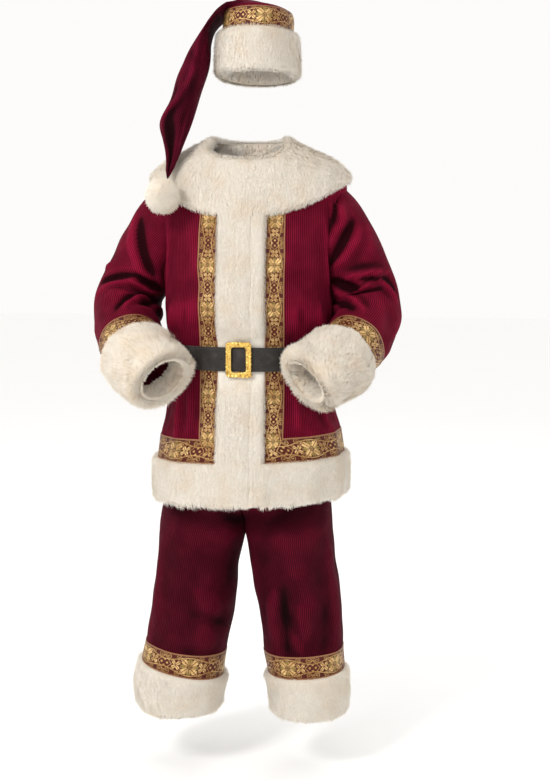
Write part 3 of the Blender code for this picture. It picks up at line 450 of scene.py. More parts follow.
# The jacket's outer face: a row runs from the hem up, and a column from the front's middle line
# round by the wearer's left. Columns 11 and 31 are the side seams, 21 is the middle of the back.
jacket = {
    "sections": (  # height, half width, front, back, squareness
        (0.705, 0.226, 0.178, 0.17, 2.25), (0.797, 0.225, 0.173, 0.164, 2.25),
        (0.855, 0.219, 0.167, 0.157, 2.25), (0.9, 0.209, 0.16, 0.149, 2.3),
        (0.95, 0.201, 0.151, 0.141, 2.35), (1.017, 0.195, 0.144, 0.134, 2.35),
        (1.074, 0.196, 0.144, 0.134, 2.35), (1.1, 0.204, 0.1455, 0.14, 2.35),
        (1.15, 0.208, 0.154, 0.143, 2.35), (1.22, 0.209, 0.152, 0.145, 2.35),
        (1.3, 0.214, 0.143, 0.144, 2.35), (1.37, 0.224, 0.129, 0.139, 2.35),
        (1.415, 0.231, 0.117, 0.13, 2.3), (1.445, 0.235, 0.108, 0.122, 2.25),
        (1.468, 0.231, 0.101, 0.115, 2.2), (1.492, 0.209, 0.094, 0.107, 2.15),
        (1.512, 0.172, 0.087, 0.099, 2.1), (1.53, 0.135, 0.08, 0.091, 2.05),
        (1.545, 0.105, 0.074, 0.085, 2.0), (1.558, 0.085, 0.071, 0.082, 2.0)),
    "rows": (  # height at the side seam, drop at the front, drop at the back
        (0.705, 0.0, 0.0), (0.75, 0.0, 0.0), (0.797, 0.0, 0.0), (0.826, 0.0, 0.0), (0.855, 0.0, 0.0),
        (0.925, 0.0, 0.0), (0.997, 0.0, 0.0), (1.017, 0.0, 0.0), (1.074, 0.0, 0.0), (1.094, 0.0, 0.0),
        (1.13, 0.0, 0.0), (1.18, 0.005, 0.0), (1.235, 0.015, 0.0), (1.29, 0.025, 0.005),
        (1.345, 0.04, 0.01), (1.4, 0.06, 0.025), (1.462, 0.078, 0.045), (1.494, 0.071, 0.036),
        (1.526, 0.06, 0.018), (1.558, 0.048, 0.004)),
    "frontStrips": (0.0, 0.02825, 0.0565, 0.079, 0.1015),
    "stripAtNeck": 0.72,
    "tilt": 0.035, "tiltFades": (0.87, 1.0),
    "skirtFolds": (  # angle (0 at the wearer's left, 90 at the back), width, depth at the hem, drift
        (318.0, 9.0, 0.007, 30.0), (342.0, 8.0, 0.01, 15.0), (4.0, 9.0, 0.008, 10.0),
        (27.0, 8.0, 0.012, -10.0), (52.0, 10.0, 0.009, 0.0), (78.0, 8.0, 0.012, 0.0),
        (104.0, 10.0, 0.009, 10.0), (131.0, 8.0, 0.012, 10.0), (155.0, 9.0, 0.009, 0.0),
        (178.0, 8.0, 0.011, -10.0), (199.0, 9.0, 0.008, -20.0), (222.0, 8.0, 0.007, -30.0)),
    "skirtFoldsFade": (0.76, 0.99),
    "bodiceFolds": (  # angle, width, depth, low end, high end, drift for each metre up
        (318.0, 9.0, 0.006, 1.074, 1.23, -60.0), (338.0, 8.0, 0.008, 1.074, 1.2, -90.0),
        (300.0, 7.0, 0.005, 1.18, 1.4, 90.0), (222.0, 9.0, 0.006, 1.074, 1.23, 60.0),
        (203.0, 8.0, 0.008, 1.074, 1.2, 90.0), (240.0, 7.0, 0.005, 1.18, 1.4, -90.0),
        (30.0, 10.0, 0.007, 1.074, 1.24, 40.0), (60.0, 9.0, 0.006, 1.074, 1.21, 0.0),
        (90.0, 9.0, 0.007, 1.074, 1.26, 0.0), (121.0, 9.0, 0.006, 1.074, 1.21, 0.0),
        (150.0, 10.0, 0.007, 1.074, 1.24, -40.0), (65.0, 9.0, 0.005, 1.24, 1.4, -80.0),
        (115.0, 9.0, 0.005, 1.24, 1.4, 80.0)),
    "creases": (  # column (to the wearer's right below 0), height, ..., width, depth and any bend
        (4.7, 1.249, 6.6, 1.258, 0.0045, -0.0017, 0.002), (7.0, 1.4, 9.7, 1.185, 0.011, 0.0045, 0.006),
        (8.3, 1.33, 10.4, 1.155, 0.012, -0.006, 0.004), (5.6, 1.102, 5.3, 1.175, 0.007, -0.0035),
        (7.7, 1.1, 7.3, 1.19, 0.009, 0.004), (9.3, 1.1, 9.0, 1.17, 0.008, -0.004),
        (4.9, 0.99, 5.1, 0.853, 0.009, 0.0042), (6.0, 1.0, 6.7, 0.85, 0.018, -0.0034, 0.004),
        (7.6, 0.965, 8.4, 0.868, 0.01, 0.0045), (9.2, 0.985, 9.9, 0.85, 0.016, -0.004),
        (-6.9, 1.4, -9.3, 1.19, 0.011, 0.0045, -0.006), (-8.1, 1.32, -10.3, 1.16, 0.012, -0.006, -0.004),
        (-5.5, 1.102, -5.2, 1.165, 0.006, -0.003), (-7.5, 1.1, -7.2, 1.18, 0.008, 0.0038),
        (-9.1, 1.1, -8.7, 1.185, 0.009, -0.0045), (-6.7, 0.945, -6.3, 0.85, 0.012, 0.0045),
        (-5.9, 0.99, -5.6, 0.85, 0.011, -0.0018), (-5.1, 0.985, -5.0, 0.87, 0.007, 0.0032),
        (-4.6, 0.96, -4.4, 0.84, 0.012, -0.0018), (-8.4, 0.99, -8.8, 0.85, 0.017, -0.0038),
        (13.0, 1.12, 17.0, 1.245, 0.024, -0.0027, 0.01), (14.2, 1.105, 18.6, 1.19, 0.016, 0.0036, 0.008),
        (15.0, 1.35, 19.4, 1.382, 0.025, -0.0024, -0.01), (19.4, 1.1, 19.9, 1.2, 0.016, -0.0024),
        (-13.2, 1.115, -17.4, 1.23, 0.022, -0.0026, -0.01),
        (-14.6, 1.102, -18.9, 1.175, 0.014, 0.0036, -0.006),
        (-15.2, 1.335, -19.0, 1.37, 0.024, -0.0024, 0.008), (-20.3, 1.102, -19.8, 1.21, 0.018, -0.0022),
        (12.6, 1.0, 12.2, 0.85, 0.025, -0.002), (16.4, 1.0, 16.8, 0.85, 0.025, -0.002),
        (19.6, 0.985, 20.1, 0.87, 0.016, 0.0038), (-13.4, 1.0, -13.0, 0.85, 0.028, -0.002),
        (-17.2, 1.0, -16.9, 0.85, 0.023, -0.0019), (-18.8, 0.975, -19.2, 0.862, 0.014, 0.0036)),
    "pile": (  # strokes of painted shade (tone below 0) and painted light (above 0): column, height, column, height, fade before and after, tone
        (9.8, 1.33, 10.6, 1.06, 0.03, 0.03, -0.24), (7.2, 0.99, 8.2, 0.85, 0.014, 0.034, -0.26),
        (4.6, 1.06, 4.4, 1.11, 0.02, 0.02, -0.2), (-9.9, 1.3, -10.6, 1.06, 0.026, 0.026, -0.2),
        (-6.7, 0.96, -6.3, 0.845, 0.012, 0.012, 0.3), (-8.2, 0.99, -8.6, 0.85, 0.03, 0.012, -0.22),
        (6.0, 1.02, 6.2, 1.07, 0.03, 0.03, -0.16)),
    "columnWidth": 0.03,
    "swell": 0.0011,
    "rowHeight": 0.0095, "columnStep": 0.28,
    "cutterRowStep": 0.25, "steps": (0.15, 0.15),
    "seamPinch": 0.0016, "seamWidth": 0.005,
}
leftSeam, backMiddle, rightSeam, lastColumn = 11, 21, 31, 42
lastRow = len(jacket["rows"]) - 1


def stripShare(distance, level):
    halfWidth, _, _, squareness = tableAt(jacket["sections"], level)
    scale = np.minimum(1.0, jacket["stripAtNeck"] * halfWidth / jacket["frontStrips"][-1])
    return np.arcsin((distance * scale / halfWidth) ** (squareness / 2)) / (math.pi / 2)


def jacketSurface(row, column):
    row, column = np.broadcast_arrays(np.asarray(row, float), np.asarray(column, float))
    column = np.mod(column, lastColumn)
    rowTable = np.array(jacket["rows"])
    places = np.arange(len(rowTable))
    sideLevel, frontDrop, backDrop = (np.interp(row, places, rowTable[:, k]) for k in range(3))
    fromFront = np.minimum(column, lastColumn - column)
    side = np.where(column <= backMiddle, 1.0, -1.0)
    back = fromFront > leftSeam
    strips = jacket["frontStrips"]
    distance = np.interp(fromFront, range(len(strips)), strips)
    lastStrip = len(strips) - 1
    past = np.clip((fromFront - lastStrip) / (leftSeam - lastStrip), 0.0, 1.0)
    inStrips = stripShare(distance, sideLevel - frontDrop)
    frontShare = np.where(fromFront <= lastStrip, inStrips, inStrips + (1.0 - inStrips) * past)
    backShare = np.clip((backMiddle - fromFront) / (backMiddle - leftSeam), 0.0, 1.0)
    share = np.where(back, backShare, frontShare)
    level = sideLevel - np.where(back, backDrop, frontDrop) * np.cos(share * math.pi / 2) ** 2
    halfWidth, frontDepth, backDepth, squareness = tableAt(jacket["sections"], level)
    forward, sideways = squaredOff(share * math.pi / 2, squareness)
    x = side * halfWidth * sideways
    y = np.where(back, backDepth, -frontDepth) * forward
    angle = np.degrees(np.arctan2(y, x))
    out = np.zeros(level.shape)
    hem = jacket["rows"][0][0]
    for centre, width, depth, drift in jacket["skirtFolds"]:
        across = turnBetween(angle, centre + drift * (level - hem)) / width
        out += depth * hump(across) * (1.0 - smoothStep(*jacket["skirtFoldsFade"], level))
    for centre, width, depth, low, high, drift in jacket["bodiceFolds"]:
        across = turnBetween(angle, centre + drift * (level - low)) / width
        along = np.sin(math.pi * np.clip((level - low) / (high - low), 0.0, 1.0)) ** 2
        out += depth * hump(across) * along
    reach = np.hypot(x, y)
    tilt = jacket["tilt"] * x * (1.0 - smoothStep(*jacket["tiltFades"], level))
    points = np.stack([x, y, level + tilt], axis=-1)
    signedColumn = np.where(column <= backMiddle, column, column - lastColumn)
    out += creaseRelief(signedColumn, level, jacket["creases"], jacket["columnWidth"])
    nearSeam = (fromFront - leftSeam) * jacket["columnWidth"]
    out -= jacket["seamPinch"] * hump(nearSeam / jacket["seamWidth"])
    calm = smoothStep(0.0, 1.0, fromFront - lastStrip + 1.0)  # the front strips lie flat
    out += softWaves(points, 5, jacket["swell"]) * calm
    points[..., 0] += x / reach * out
    points[..., 1] += y / reach * out
    return points


def jacketFacing(row, column):
    return facing(jacketSurface, row, column, jacket["steps"])


def jacketPanel(name, firstColumn, endColumn, startColumn, material):
    columns = spread(firstColumn, endColumn, jacket["columnStep"])
    rowTable = jacket["rows"]
    heights = [high[0] - low[0] for low, high in zip(rowTable, rowTable[1:])]
    parts = [max(2, round(height / jacket["rowHeight"])) for height in heights]
    rows = throughKnots(range(len(rowTable)), parts)
    rowGrid, columnGrid, points, normals = gridOn(jacketSurface, rows, columns, jacket["steps"])
    uv = clothUv(points, normals, int(np.argmin(np.abs(columns - startColumn))))
    wrapped = np.where(columnGrid <= backMiddle, columnGrid, columnGrid - lastColumn)
    # strokes of painted shade and light join the fold channel
    uv[..., 2] += lightAndShadeStrokes(wrapped, points[..., 2], jacket["pile"], jacket["columnWidth"])
    halfGap = seamGap / 2 / jacket["columnWidth"]
    columnGrid[:, 0] += halfGap
    columnGrid[:, -1] -= halfGap
    points = jacketSurface(rowGrid, columnGrid)
    return makeWall(name, points, jacketFacing(rowGrid, columnGrid), -clothThickness, 0.0, uv, material)


# A sleeve's outer face: a station is metres along it from the shoulder, and an angle runs round it,
# 0 on the outside and 180 inside. The left arm's x and the right arm's x differ a little.
sleeve = {
    "spine": (  # left x, right x, y, height, half height, half depth
        (0.126, 0.13, 0.008, 1.436, 0.074, 0.074), (0.168, 0.174, 0.01, 1.4, 0.081, 0.081),
        (0.211, 0.222, 0.013, 1.34, 0.084, 0.084), (0.257, 0.275, 0.018, 1.252, 0.083, 0.083),
        (0.284, 0.306, 0.008, 1.172, 0.08, 0.08), (0.283, 0.303, -0.04, 1.112, 0.079, 0.079),
        (0.26, 0.272, -0.117, 1.073, 0.076, 0.073), (0.223, 0.231, -0.181, 1.04, 0.073, 0.066),
        (0.168, 0.174, -0.229, 1.006, 0.068, 0.056)),
    "spineStep": 0.05, "turnReach": 0.012,
    "shoulderFacing": (0.75, 0.0, 0.66),
    "folds": (  # place along, length, depth, angle round, spread
        (0.15, 0.045, 0.006, 235.0, 45.0), (0.24, 0.034, 0.007, 245.0, 50.0),
        (0.305, 0.03, -0.007, 200.0, 60.0), (0.345, 0.03, 0.01, 195.0, 75.0),
        (0.395, 0.032, -0.006, 175.0, 75.0), (0.425, 0.03, 0.007, 190.0, 90.0),
        (0.33, 0.06, 0.006, 330.0, 60.0)),
    "leftCreases": (  # angle (90 in front), station, angle, station, width, depth and any bend
        (69.0, 0.046, 100.0, 0.12, 0.008, -0.006), (40.0, 0.052, 92.0, 0.118, 0.009, -0.007),
        (50.0, 0.068, 72.0, 0.124, 0.009, 0.0065), (46.0, 0.12, 124.0, 0.186, 0.012, -0.009),
        (40.0, 0.138, 116.0, 0.2, 0.012, 0.006), (18.0, 0.13, 62.0, 0.225, 0.024, 0.0045),
        (120.0, 0.236, 24.0, 0.263, 0.009, 0.0085), (134.0, 0.23, 92.0, 0.292, 0.013, -0.015),
        (90.0, 0.25, 48.0, 0.271, 0.006, -0.005), (116.0, 0.314, 68.0, 0.274, 0.008, 0.0085),
        (52.0, 0.272, 14.0, 0.342, 0.009, 0.0075), (44.0, 0.264, 8.0, 0.32, 0.01, -0.005),
        (100.0, 0.316, 48.0, 0.3, 0.01, -0.005), (130.0, 0.284, 72.0, 0.452, 0.01, 0.0075),
        (150.0, 0.306, 92.0, 0.44, 0.012, -0.0075), (40.0, 0.35, 20.0, 0.45, 0.018, -0.004),
        (205.0, 0.245, 285.0, 0.27, 0.012, -0.009, 0.004), (195.0, 0.3, 300.0, 0.296, 0.01, 0.008),
        (210.0, 0.345, 290.0, 0.33, 0.01, -0.008), (235.0, 0.105, 275.0, 0.205, 0.015, -0.008),
        (300.0, 0.12, 325.0, 0.235, 0.016, 0.0055), (215.0, 0.4, 310.0, 0.43, 0.011, 0.006),
        (330.0, 0.33, 350.0, 0.44, 0.013, -0.0045)),
    "rightCreases": (
        (44.0, 0.118, 140.0, 0.26, 0.012, -0.009), (36.0, 0.13, 112.0, 0.238, 0.012, 0.006),
        (26.0, 0.12, 70.0, 0.226, 0.022, 0.004, 0.006), (30.0, 0.308, 98.0, 0.246, 0.009, -0.008),
        (92.0, 0.247, 152.0, 0.264, 0.01, -0.011), (38.0, 0.326, 92.0, 0.264, 0.008, 0.008),
        (86.0, 0.264, 142.0, 0.279, 0.008, 0.0085), (136.0, 0.294, 84.0, 0.456, 0.01, 0.008),
        (112.0, 0.33, 68.0, 0.452, 0.01, -0.0065), (160.0, 0.3, 118.0, 0.42, 0.013, -0.0085),
        (22.0, 0.34, 60.0, 0.32, 0.008, 0.004), (8.0, 0.27, 44.0, 0.252, 0.01, 0.005),
        (205.0, 0.25, 290.0, 0.262, 0.012, -0.009, -0.004), (198.0, 0.306, 296.0, 0.3, 0.01, 0.008),
        (212.0, 0.35, 292.0, 0.338, 0.01, -0.0075), (232.0, 0.11, 270.0, 0.212, 0.015, -0.008),
        (298.0, 0.124, 322.0, 0.228, 0.016, 0.0055), (218.0, 0.408, 305.0, 0.44, 0.011, 0.006),
        (330.0, 0.34, 348.0, 0.45, 0.013, -0.0045)),
    "leftLightAndShade": (  # strokes of painted shade (tone below 0) and painted light (above 0): angle, station, angle, station, fade before and after, tone
        (69.0, 0.04, 100.0, 0.125, 0.008, 0.012, -0.5), (37.0, 0.046, 98.0, 0.124, 0.009, 0.01, -0.42),
        (52.0, 0.07, 70.0, 0.12, 0.007, 0.007, 0.35), (42.0, 0.122, 128.0, 0.194, 0.005, 0.034, -0.52),
        (40.0, 0.13, 118.0, 0.194, 0.034, 0.003, 0.14), (122.0, 0.231, 26.0, 0.262, 0.05, 0.005, -0.34),
        (120.0, 0.236, 22.0, 0.264, 0.004, 0.007, 0.45), (138.0, 0.226, 92.0, 0.294, 0.024, 0.016, -0.8),
        (92.0, 0.25, 46.0, 0.272, 0.004, 0.007, -0.4), (116.0, 0.313, 70.0, 0.274, 0.006, 0.006, 0.4),
        (76.0, 0.274, 46.0, 0.274, 0.006, 0.006, 0.3), (52.0, 0.272, 14.0, 0.342, 0.006, 0.007, 0.35),
        (44.0, 0.266, 10.0, 0.326, 0.018, 0.005, -0.34), (104.0, 0.313, 48.0, 0.295, 0.005, 0.022, -0.36),
        (130.0, 0.284, 72.0, 0.452, 0.008, 0.008, 0.3), (152.0, 0.304, 88.0, 0.456, 0.008, 0.034, -0.55),
        (64.0, 0.318, 28.0, 0.432, 0.03, 0.03, 0.16), (150.0, 0.06, 160.0, 0.3, 0.04, 0.04, -0.35),
        (210.0, 0.25, 285.0, 0.268, 0.006, 0.026, -0.35), (225.0, 0.06, 262.0, 0.21, 0.03, 0.01, -0.3)),
    "rightLightAndShade": (
        (42.0, 0.117, 146.0, 0.27, 0.004, 0.085, -0.4), (48.0, 0.126, 120.0, 0.232, 0.004, 0.014, -0.4),
        (34.0, 0.128, 108.0, 0.24, 0.03, 0.003, 0.14), (26.0, 0.314, 99.0, 0.249, 0.004, 0.024, -0.55),
        (91.0, 0.249, 154.0, 0.266, 0.004, 0.024, -0.62), (34.0, 0.327, 91.0, 0.265, 0.009, 0.004, 0.38),
        (87.0, 0.265, 142.0, 0.279, 0.009, 0.004, 0.38), (136.0, 0.296, 84.0, 0.456, 0.009, 0.009, 0.34),
        (114.0, 0.326, 68.0, 0.456, 0.014, 0.007, -0.36), (132.0, 0.292, 172.0, 0.4, 0.022, 0.034, -0.6),
        (30.0, 0.35, 44.0, 0.48, 0.024, 0.03, -0.22), (150.0, 0.05, 170.0, 0.3, 0.03, 0.04, -0.4),
        (208.0, 0.252, 288.0, 0.262, 0.006, 0.026, -0.35), (222.0, 0.06, 258.0, 0.214, 0.03, 0.01, -0.3)),
    "degreeWidth": 0.0014,
    "swell": 0.0016,
    "ribbonWidth": 0.055, "furWidth": 0.125,
    "stationStep": 0.007, "columns": 72, "cutterStep": 0.0085, "cutterColumns": 60,
    "steps": (0.004, 3.0),
    "sunkAtSeam": 0.0008,
}


def sleeveSpine(side):
    table = np.array(sleeve["spine"])
    x = table[:, 0] if side > 0 else -table[:, 1]
    knots = np.column_stack([x, table[:, 2:]])
    ends = np.vstack([2 * knots[0] - knots[1], knots, 2 * knots[-1] - knots[-2]])
    dense = []
    for before, start, end, after in zip(ends, ends[1:], ends[2:], ends[3:]):
        for t in np.arange(0.0, 1.0, sleeve["spineStep"]):
            dense.append(0.5 * (2 * start + (end - before) * t
                                + (2 * before - 5 * start + 4 * end - after) * t * t
                                + (3 * start - before - 3 * end + after) * t ** 3))
    dense.append(knots[-1])
    dense = np.array(dense)
    steps = np.linalg.norm(np.diff(dense[:, :3], axis=0), axis=1)
    along = np.concatenate([[0.0], np.cumsum(steps)])

    def at(station, low, high):
        return np.array([np.interp(station, along, dense[:, axis]) for axis in range(low, high)])

    stations = np.linspace(0.0, along[-1], 90)
    outward = np.array(sleeve["shoulderFacing"]) * (side, 1.0, 1.0)
    frames = []
    for station in stations:
        tangent = unit(at(station + sleeve["turnReach"], 0, 3) - at(station - sleeve["turnReach"], 0, 3))
        outward = unit(outward - tangent * (outward @ tangent))
        frames.append(np.concatenate([at(station, 0, 5), outward, np.cross(tangent, outward)]))
    return stations, np.array(frames)


def sleeveSurfaceFor(side):
    stations, frames = sleeveSpine(side)
    creases = sleeve["leftCreases" if side > 0 else "rightCreases"]

    def surface(station, angle):
        station, angle = np.broadcast_arrays(np.asarray(station, float), np.asarray(angle, float))
        row = np.stack([np.interp(station, stations, frames[:, k]) for k in range(frames.shape[1])], axis=-1)
        centre, halfHeight, halfDepth = row[..., :3], row[..., 3], row[..., 4]
        outward, around = row[..., 5:8], row[..., 8:11]
        grown = np.zeros(station.shape)
        for place, length, depth, centreAngle, foldSpread in sleeve["folds"]:
            turn = turnBetween(side * angle, side * centreAngle) / foldSpread
            shift = (station - place) / length
            grown += depth * np.exp(-turn * turn - shift * shift)
        grown += creaseRelief(side * angle, station, creases, sleeve["degreeWidth"], 360.0)
        plain = centre + outward * (halfHeight * np.cos(np.radians(angle)))[..., None]
        plain = plain + around * (halfDepth * np.sin(np.radians(angle)))[..., None]
        grown += softWaves(plain, 9, sleeve["swell"])
        return (centre + outward * ((halfHeight + grown) * np.cos(np.radians(angle)))[..., None]
                + around * ((halfDepth + grown) * np.sin(np.radians(angle)))[..., None])

    return surface, stations[-1]


# A leg's outer face at a height; a share runs from 0 at the outer seam to 1 at the inner one
trousers = {
    "hips": (  # height, half width, front, back, middle x, squareness
        (1.017, 0.1895, 0.139, 0.129, 0.0, 2.35), (0.94, 0.19, 0.139, 0.13, 0.0, 2.3),
        (0.86, 0.196, 0.14, 0.138, -0.001, 2.2), (0.78, 0.202, 0.14, 0.14, -0.003, 2.15),
        (0.7, 0.208, 0.135, 0.134, -0.007, 2.15), (0.6, 0.212, 0.125, 0.128, -0.012, 2.15)),
    "crotch": 0.6, "legsStart": 0.705,
    "leftLeg": (  # height, inner x, outer x, middle y, half depth, lift of the outer side
        (0.6, -0.012, 0.208, -0.002, 0.12, 0.0), (0.53, 0.001, 0.213, -0.002, 0.115, 0.0),
        (0.44, 0.015, 0.228, 0.0, 0.11, 0.0), (0.36, 0.028, 0.233, 0.002, 0.106, 0.03),
        (0.305, 0.035, 0.233, 0.002, 0.102, 0.06), (0.247, 0.044, 0.236, 0.002, 0.1, 0.06),
        (0.195, 0.056, 0.238, 0.002, 0.099, 0.03), (0.15, 0.06, 0.236, 0.002, 0.098, 0.0)),
    "rightLeg": (
        (0.6, 0.012, 0.23, -0.004, 0.12, 0.0), (0.53, 0.028, 0.238, -0.005, 0.115, 0.0),
        (0.44, 0.036, 0.25, -0.007, 0.11, 0.0), (0.36, 0.05, 0.258, -0.009, 0.106, 0.06),
        (0.305, 0.063, 0.266, -0.01, 0.103, 0.14), (0.247, 0.072, 0.278, -0.01, 0.103, 0.2),
        (0.195, 0.08, 0.291, -0.01, 0.104, 0.1), (0.15, 0.083, 0.284, -0.01, 0.104, 0.02)),
    "folds": (  # angle round the leg (0 outside, 90 at the front), width, depth, low end, high end
        (70.0, 16.0, 0.006, 0.29, 0.64), (118.0, 15.0, 0.007, 0.25, 0.56),
        (30.0, 16.0, 0.005, 0.22, 0.48), (230.0, 18.0, 0.007, 0.27, 0.6),
        (290.0, 18.0, 0.006, 0.22, 0.52)),
    "leftCreases": (  # turns from the outer seam by the front, height, ..., width, depth and any bend
        (0.62, 0.472, 0.725, 0.38, 0.012, 0.0062), (0.45, 0.43, 0.428, 0.352, 0.011, 0.0064),
        (0.53, 0.362, 0.45, 0.314, 0.012, 0.006), (0.572, 0.47, 0.59, 0.3, 0.018, -0.003),
        (0.265, 0.44, 0.3, 0.3, 0.024, -0.0026), (0.64, 0.7, 0.705, 0.46, 0.034, -0.0024),
        (0.48, 0.64, 0.46, 0.46, 0.022, 0.0036), (0.11, 0.6, 0.14, 0.36, 0.02, 0.0047),
        (0.76, 0.6, 0.72, 0.4, 0.022, -0.002), (1.26, 0.54, 1.33, 0.32, 0.026, -0.002),
        (1.42, 0.52, 1.38, 0.35, 0.016, 0.0047), (1.6, 0.64, 1.56, 0.33, 0.028, -0.002),
        (1.78, 0.48, 1.8, 0.33, 0.016, 0.0043)),
    "rightCreases": (
        (0.555, 0.603, 0.79, 0.568, 0.008, -0.0021, 0.008), (0.2, 0.61, 0.28, 0.345, 0.021, 0.0052, 0.006),
        (0.34, 0.64, 0.37, 0.32, 0.026, -0.002), (0.54, 0.47, 0.77, 0.402, 0.014, 0.0054),
        (0.52, 0.406, 0.96, 0.362, 0.022, -0.003), (0.6, 0.372, 0.8, 0.318, 0.02, 0.004, 0.004),
        (0.86, 0.64, 0.83, 0.42, 0.024, -0.002), (0.06, 0.56, 0.09, 0.36, 0.018, -0.002),
        (1.24, 0.56, 1.31, 0.32, 0.026, -0.002), (1.43, 0.54, 1.4, 0.35, 0.016, 0.0047),
        (1.58, 0.64, 1.55, 0.33, 0.028, -0.002), (1.8, 0.49, 1.78, 0.35, 0.016, 0.0043)),
    "leftLightAndShade": (  # strokes of painted shade (tone below 0) and painted light (above 0): turns, height, turns, height, fade before and after, tone
        (0.6, 0.74, 0.72, 0.43, 0.044, 0.04, -0.26), (0.555, 0.49, 0.606, 0.3, 0.018, 0.014, -0.26),
        (0.23, 0.46, 0.285, 0.29, 0.03, 0.028, -0.24), (0.61, 0.49, 0.73, 0.366, 0.01, 0.01, 0.42),
        (0.454, 0.446, 0.428, 0.336, 0.01, 0.01, 0.6), (0.536, 0.37, 0.45, 0.304, 0.011, 0.011, 0.6),
        (0.1, 0.7, 0.15, 0.36, 0.026, 0.026, 0.22), (0.5, 0.72, 0.5, 0.3, 0.06, 0.06, -0.2),
        (0.88, 0.62, 0.9, 0.32, 0.034, 0.034, -0.12), (1.5, 0.7, 1.54, 0.33, 0.044, 0.034, -0.1)),
    "rightLightAndShade": (
        (0.07, 0.72, 0.2, 0.3, 0.024, 0.024, 0.32), (0.86, 0.74, 0.9, 0.42, 0.05, 0.046, -0.3),
        (0.52, 0.48, 0.79, 0.4, 0.012, 0.012, 0.42), (0.48, 0.412, 1.0, 0.356, 0.036, 0.007, -0.28),
        (0.26, 0.33, 0.66, 0.31, 0.02, 0.018, -0.26), (0.27, 0.47, 0.345, 0.33, 0.026, 0.026, 0.08),
        (0.4, 0.7, 0.47, 0.45, 0.05, 0.036, -0.26), (0.85, 0.34, 0.97, 0.308, 0.016, 0.016, 0.34),
        (1.48, 0.7, 1.52, 0.33, 0.038, 0.044, -0.1)),
    "shareWidth": 0.3,
    "swell": 0.0015,
    "seamPinch": 0.0014, "seamWidth": 0.005,
    "hem": 0.15, "furTop": 0.247, "ribbonTop": 0.305, "top": 1.0167,
    "heightStep": 0.011, "columns": 36,
    "steps": (0.006, 0.02),
}


def legSurfaceFor(side):
    # turns run from the outer seam: 0 to 1 by the front to the inner seam, 1 to 2 back by the rear
    sections = trousers["leftLeg" if side > 0 else "rightLeg"]
    creases = trousers["leftCreases" if side > 0 else "rightCreases"]

    def surface(level, turns, rear=None):
        level, turns = np.broadcast_arrays(np.asarray(level, float), np.asarray(turns, float))
        turns = np.mod(turns, 2.0) if rear is None else turns
        back = turns > 1.0 if rear is None else np.full(turns.shape, rear)
        share = np.clip(np.where(turns > 1.0, 2.0 - turns, turns), 0.0, 1.0)
        halfWidth, frontDepth, backDepth, middle, squareness = tableAt(trousers["hips"], level)
        ahead = np.where(back, 1.0, -1.0)
        forward, sideways = squaredOff((1.0 - share) * math.pi / 2, squareness)
        hips = np.stack([middle + side * halfWidth * sideways,
                         ahead * np.where(back, backDepth, frontDepth) * forward, level], axis=-1)
        inner, outer, middleY, halfDepth, lift = tableAt(sections, level)
        centre, half = (inner + outer) / 2, (outer - inner) / 2
        swing = share * math.pi
        angle = np.where(back, 360.0 - np.degrees(swing), np.degrees(swing))
        out = np.zeros(level.shape)
        for foldAngle, width, depth, low, high in trousers["folds"]:
            along = np.sin(math.pi * np.clip((level - low) / (high - low), 0.0, 1.0)) ** 2
            out += depth * hump(turnBetween(angle, foldAngle) / width) * along
        around = np.where(back, 2.0 - share, share)
        out += creaseRelief(around, level, creases, trousers["shareWidth"], 2.0)
        for seam in (0.0, 1.0):
            fromSeam = (share - seam) * trousers["shareWidth"]
            out -= trousers["seamPinch"] * hump(fromSeam / trousers["seamWidth"])
        plain = np.stack([side * (centre + half * np.cos(swing)), middleY + ahead * halfDepth * np.sin(swing),
                          level], axis=-1)
        out += softWaves(plain, 14, trousers["swell"])
        grown = 1.0 + out / half
        leg = np.stack([side * (centre + half * np.cos(swing) * grown),
                        middleY + ahead * halfDepth * np.sin(swing) * grown,
                        level + lift * half * np.cos(swing)], axis=-1)
        weight = (1.0 - smoothStep(trousers["crotch"], trousers["legsStart"], level))[..., None]
        return hips * (1.0 - weight) + leg * weight

    return surface


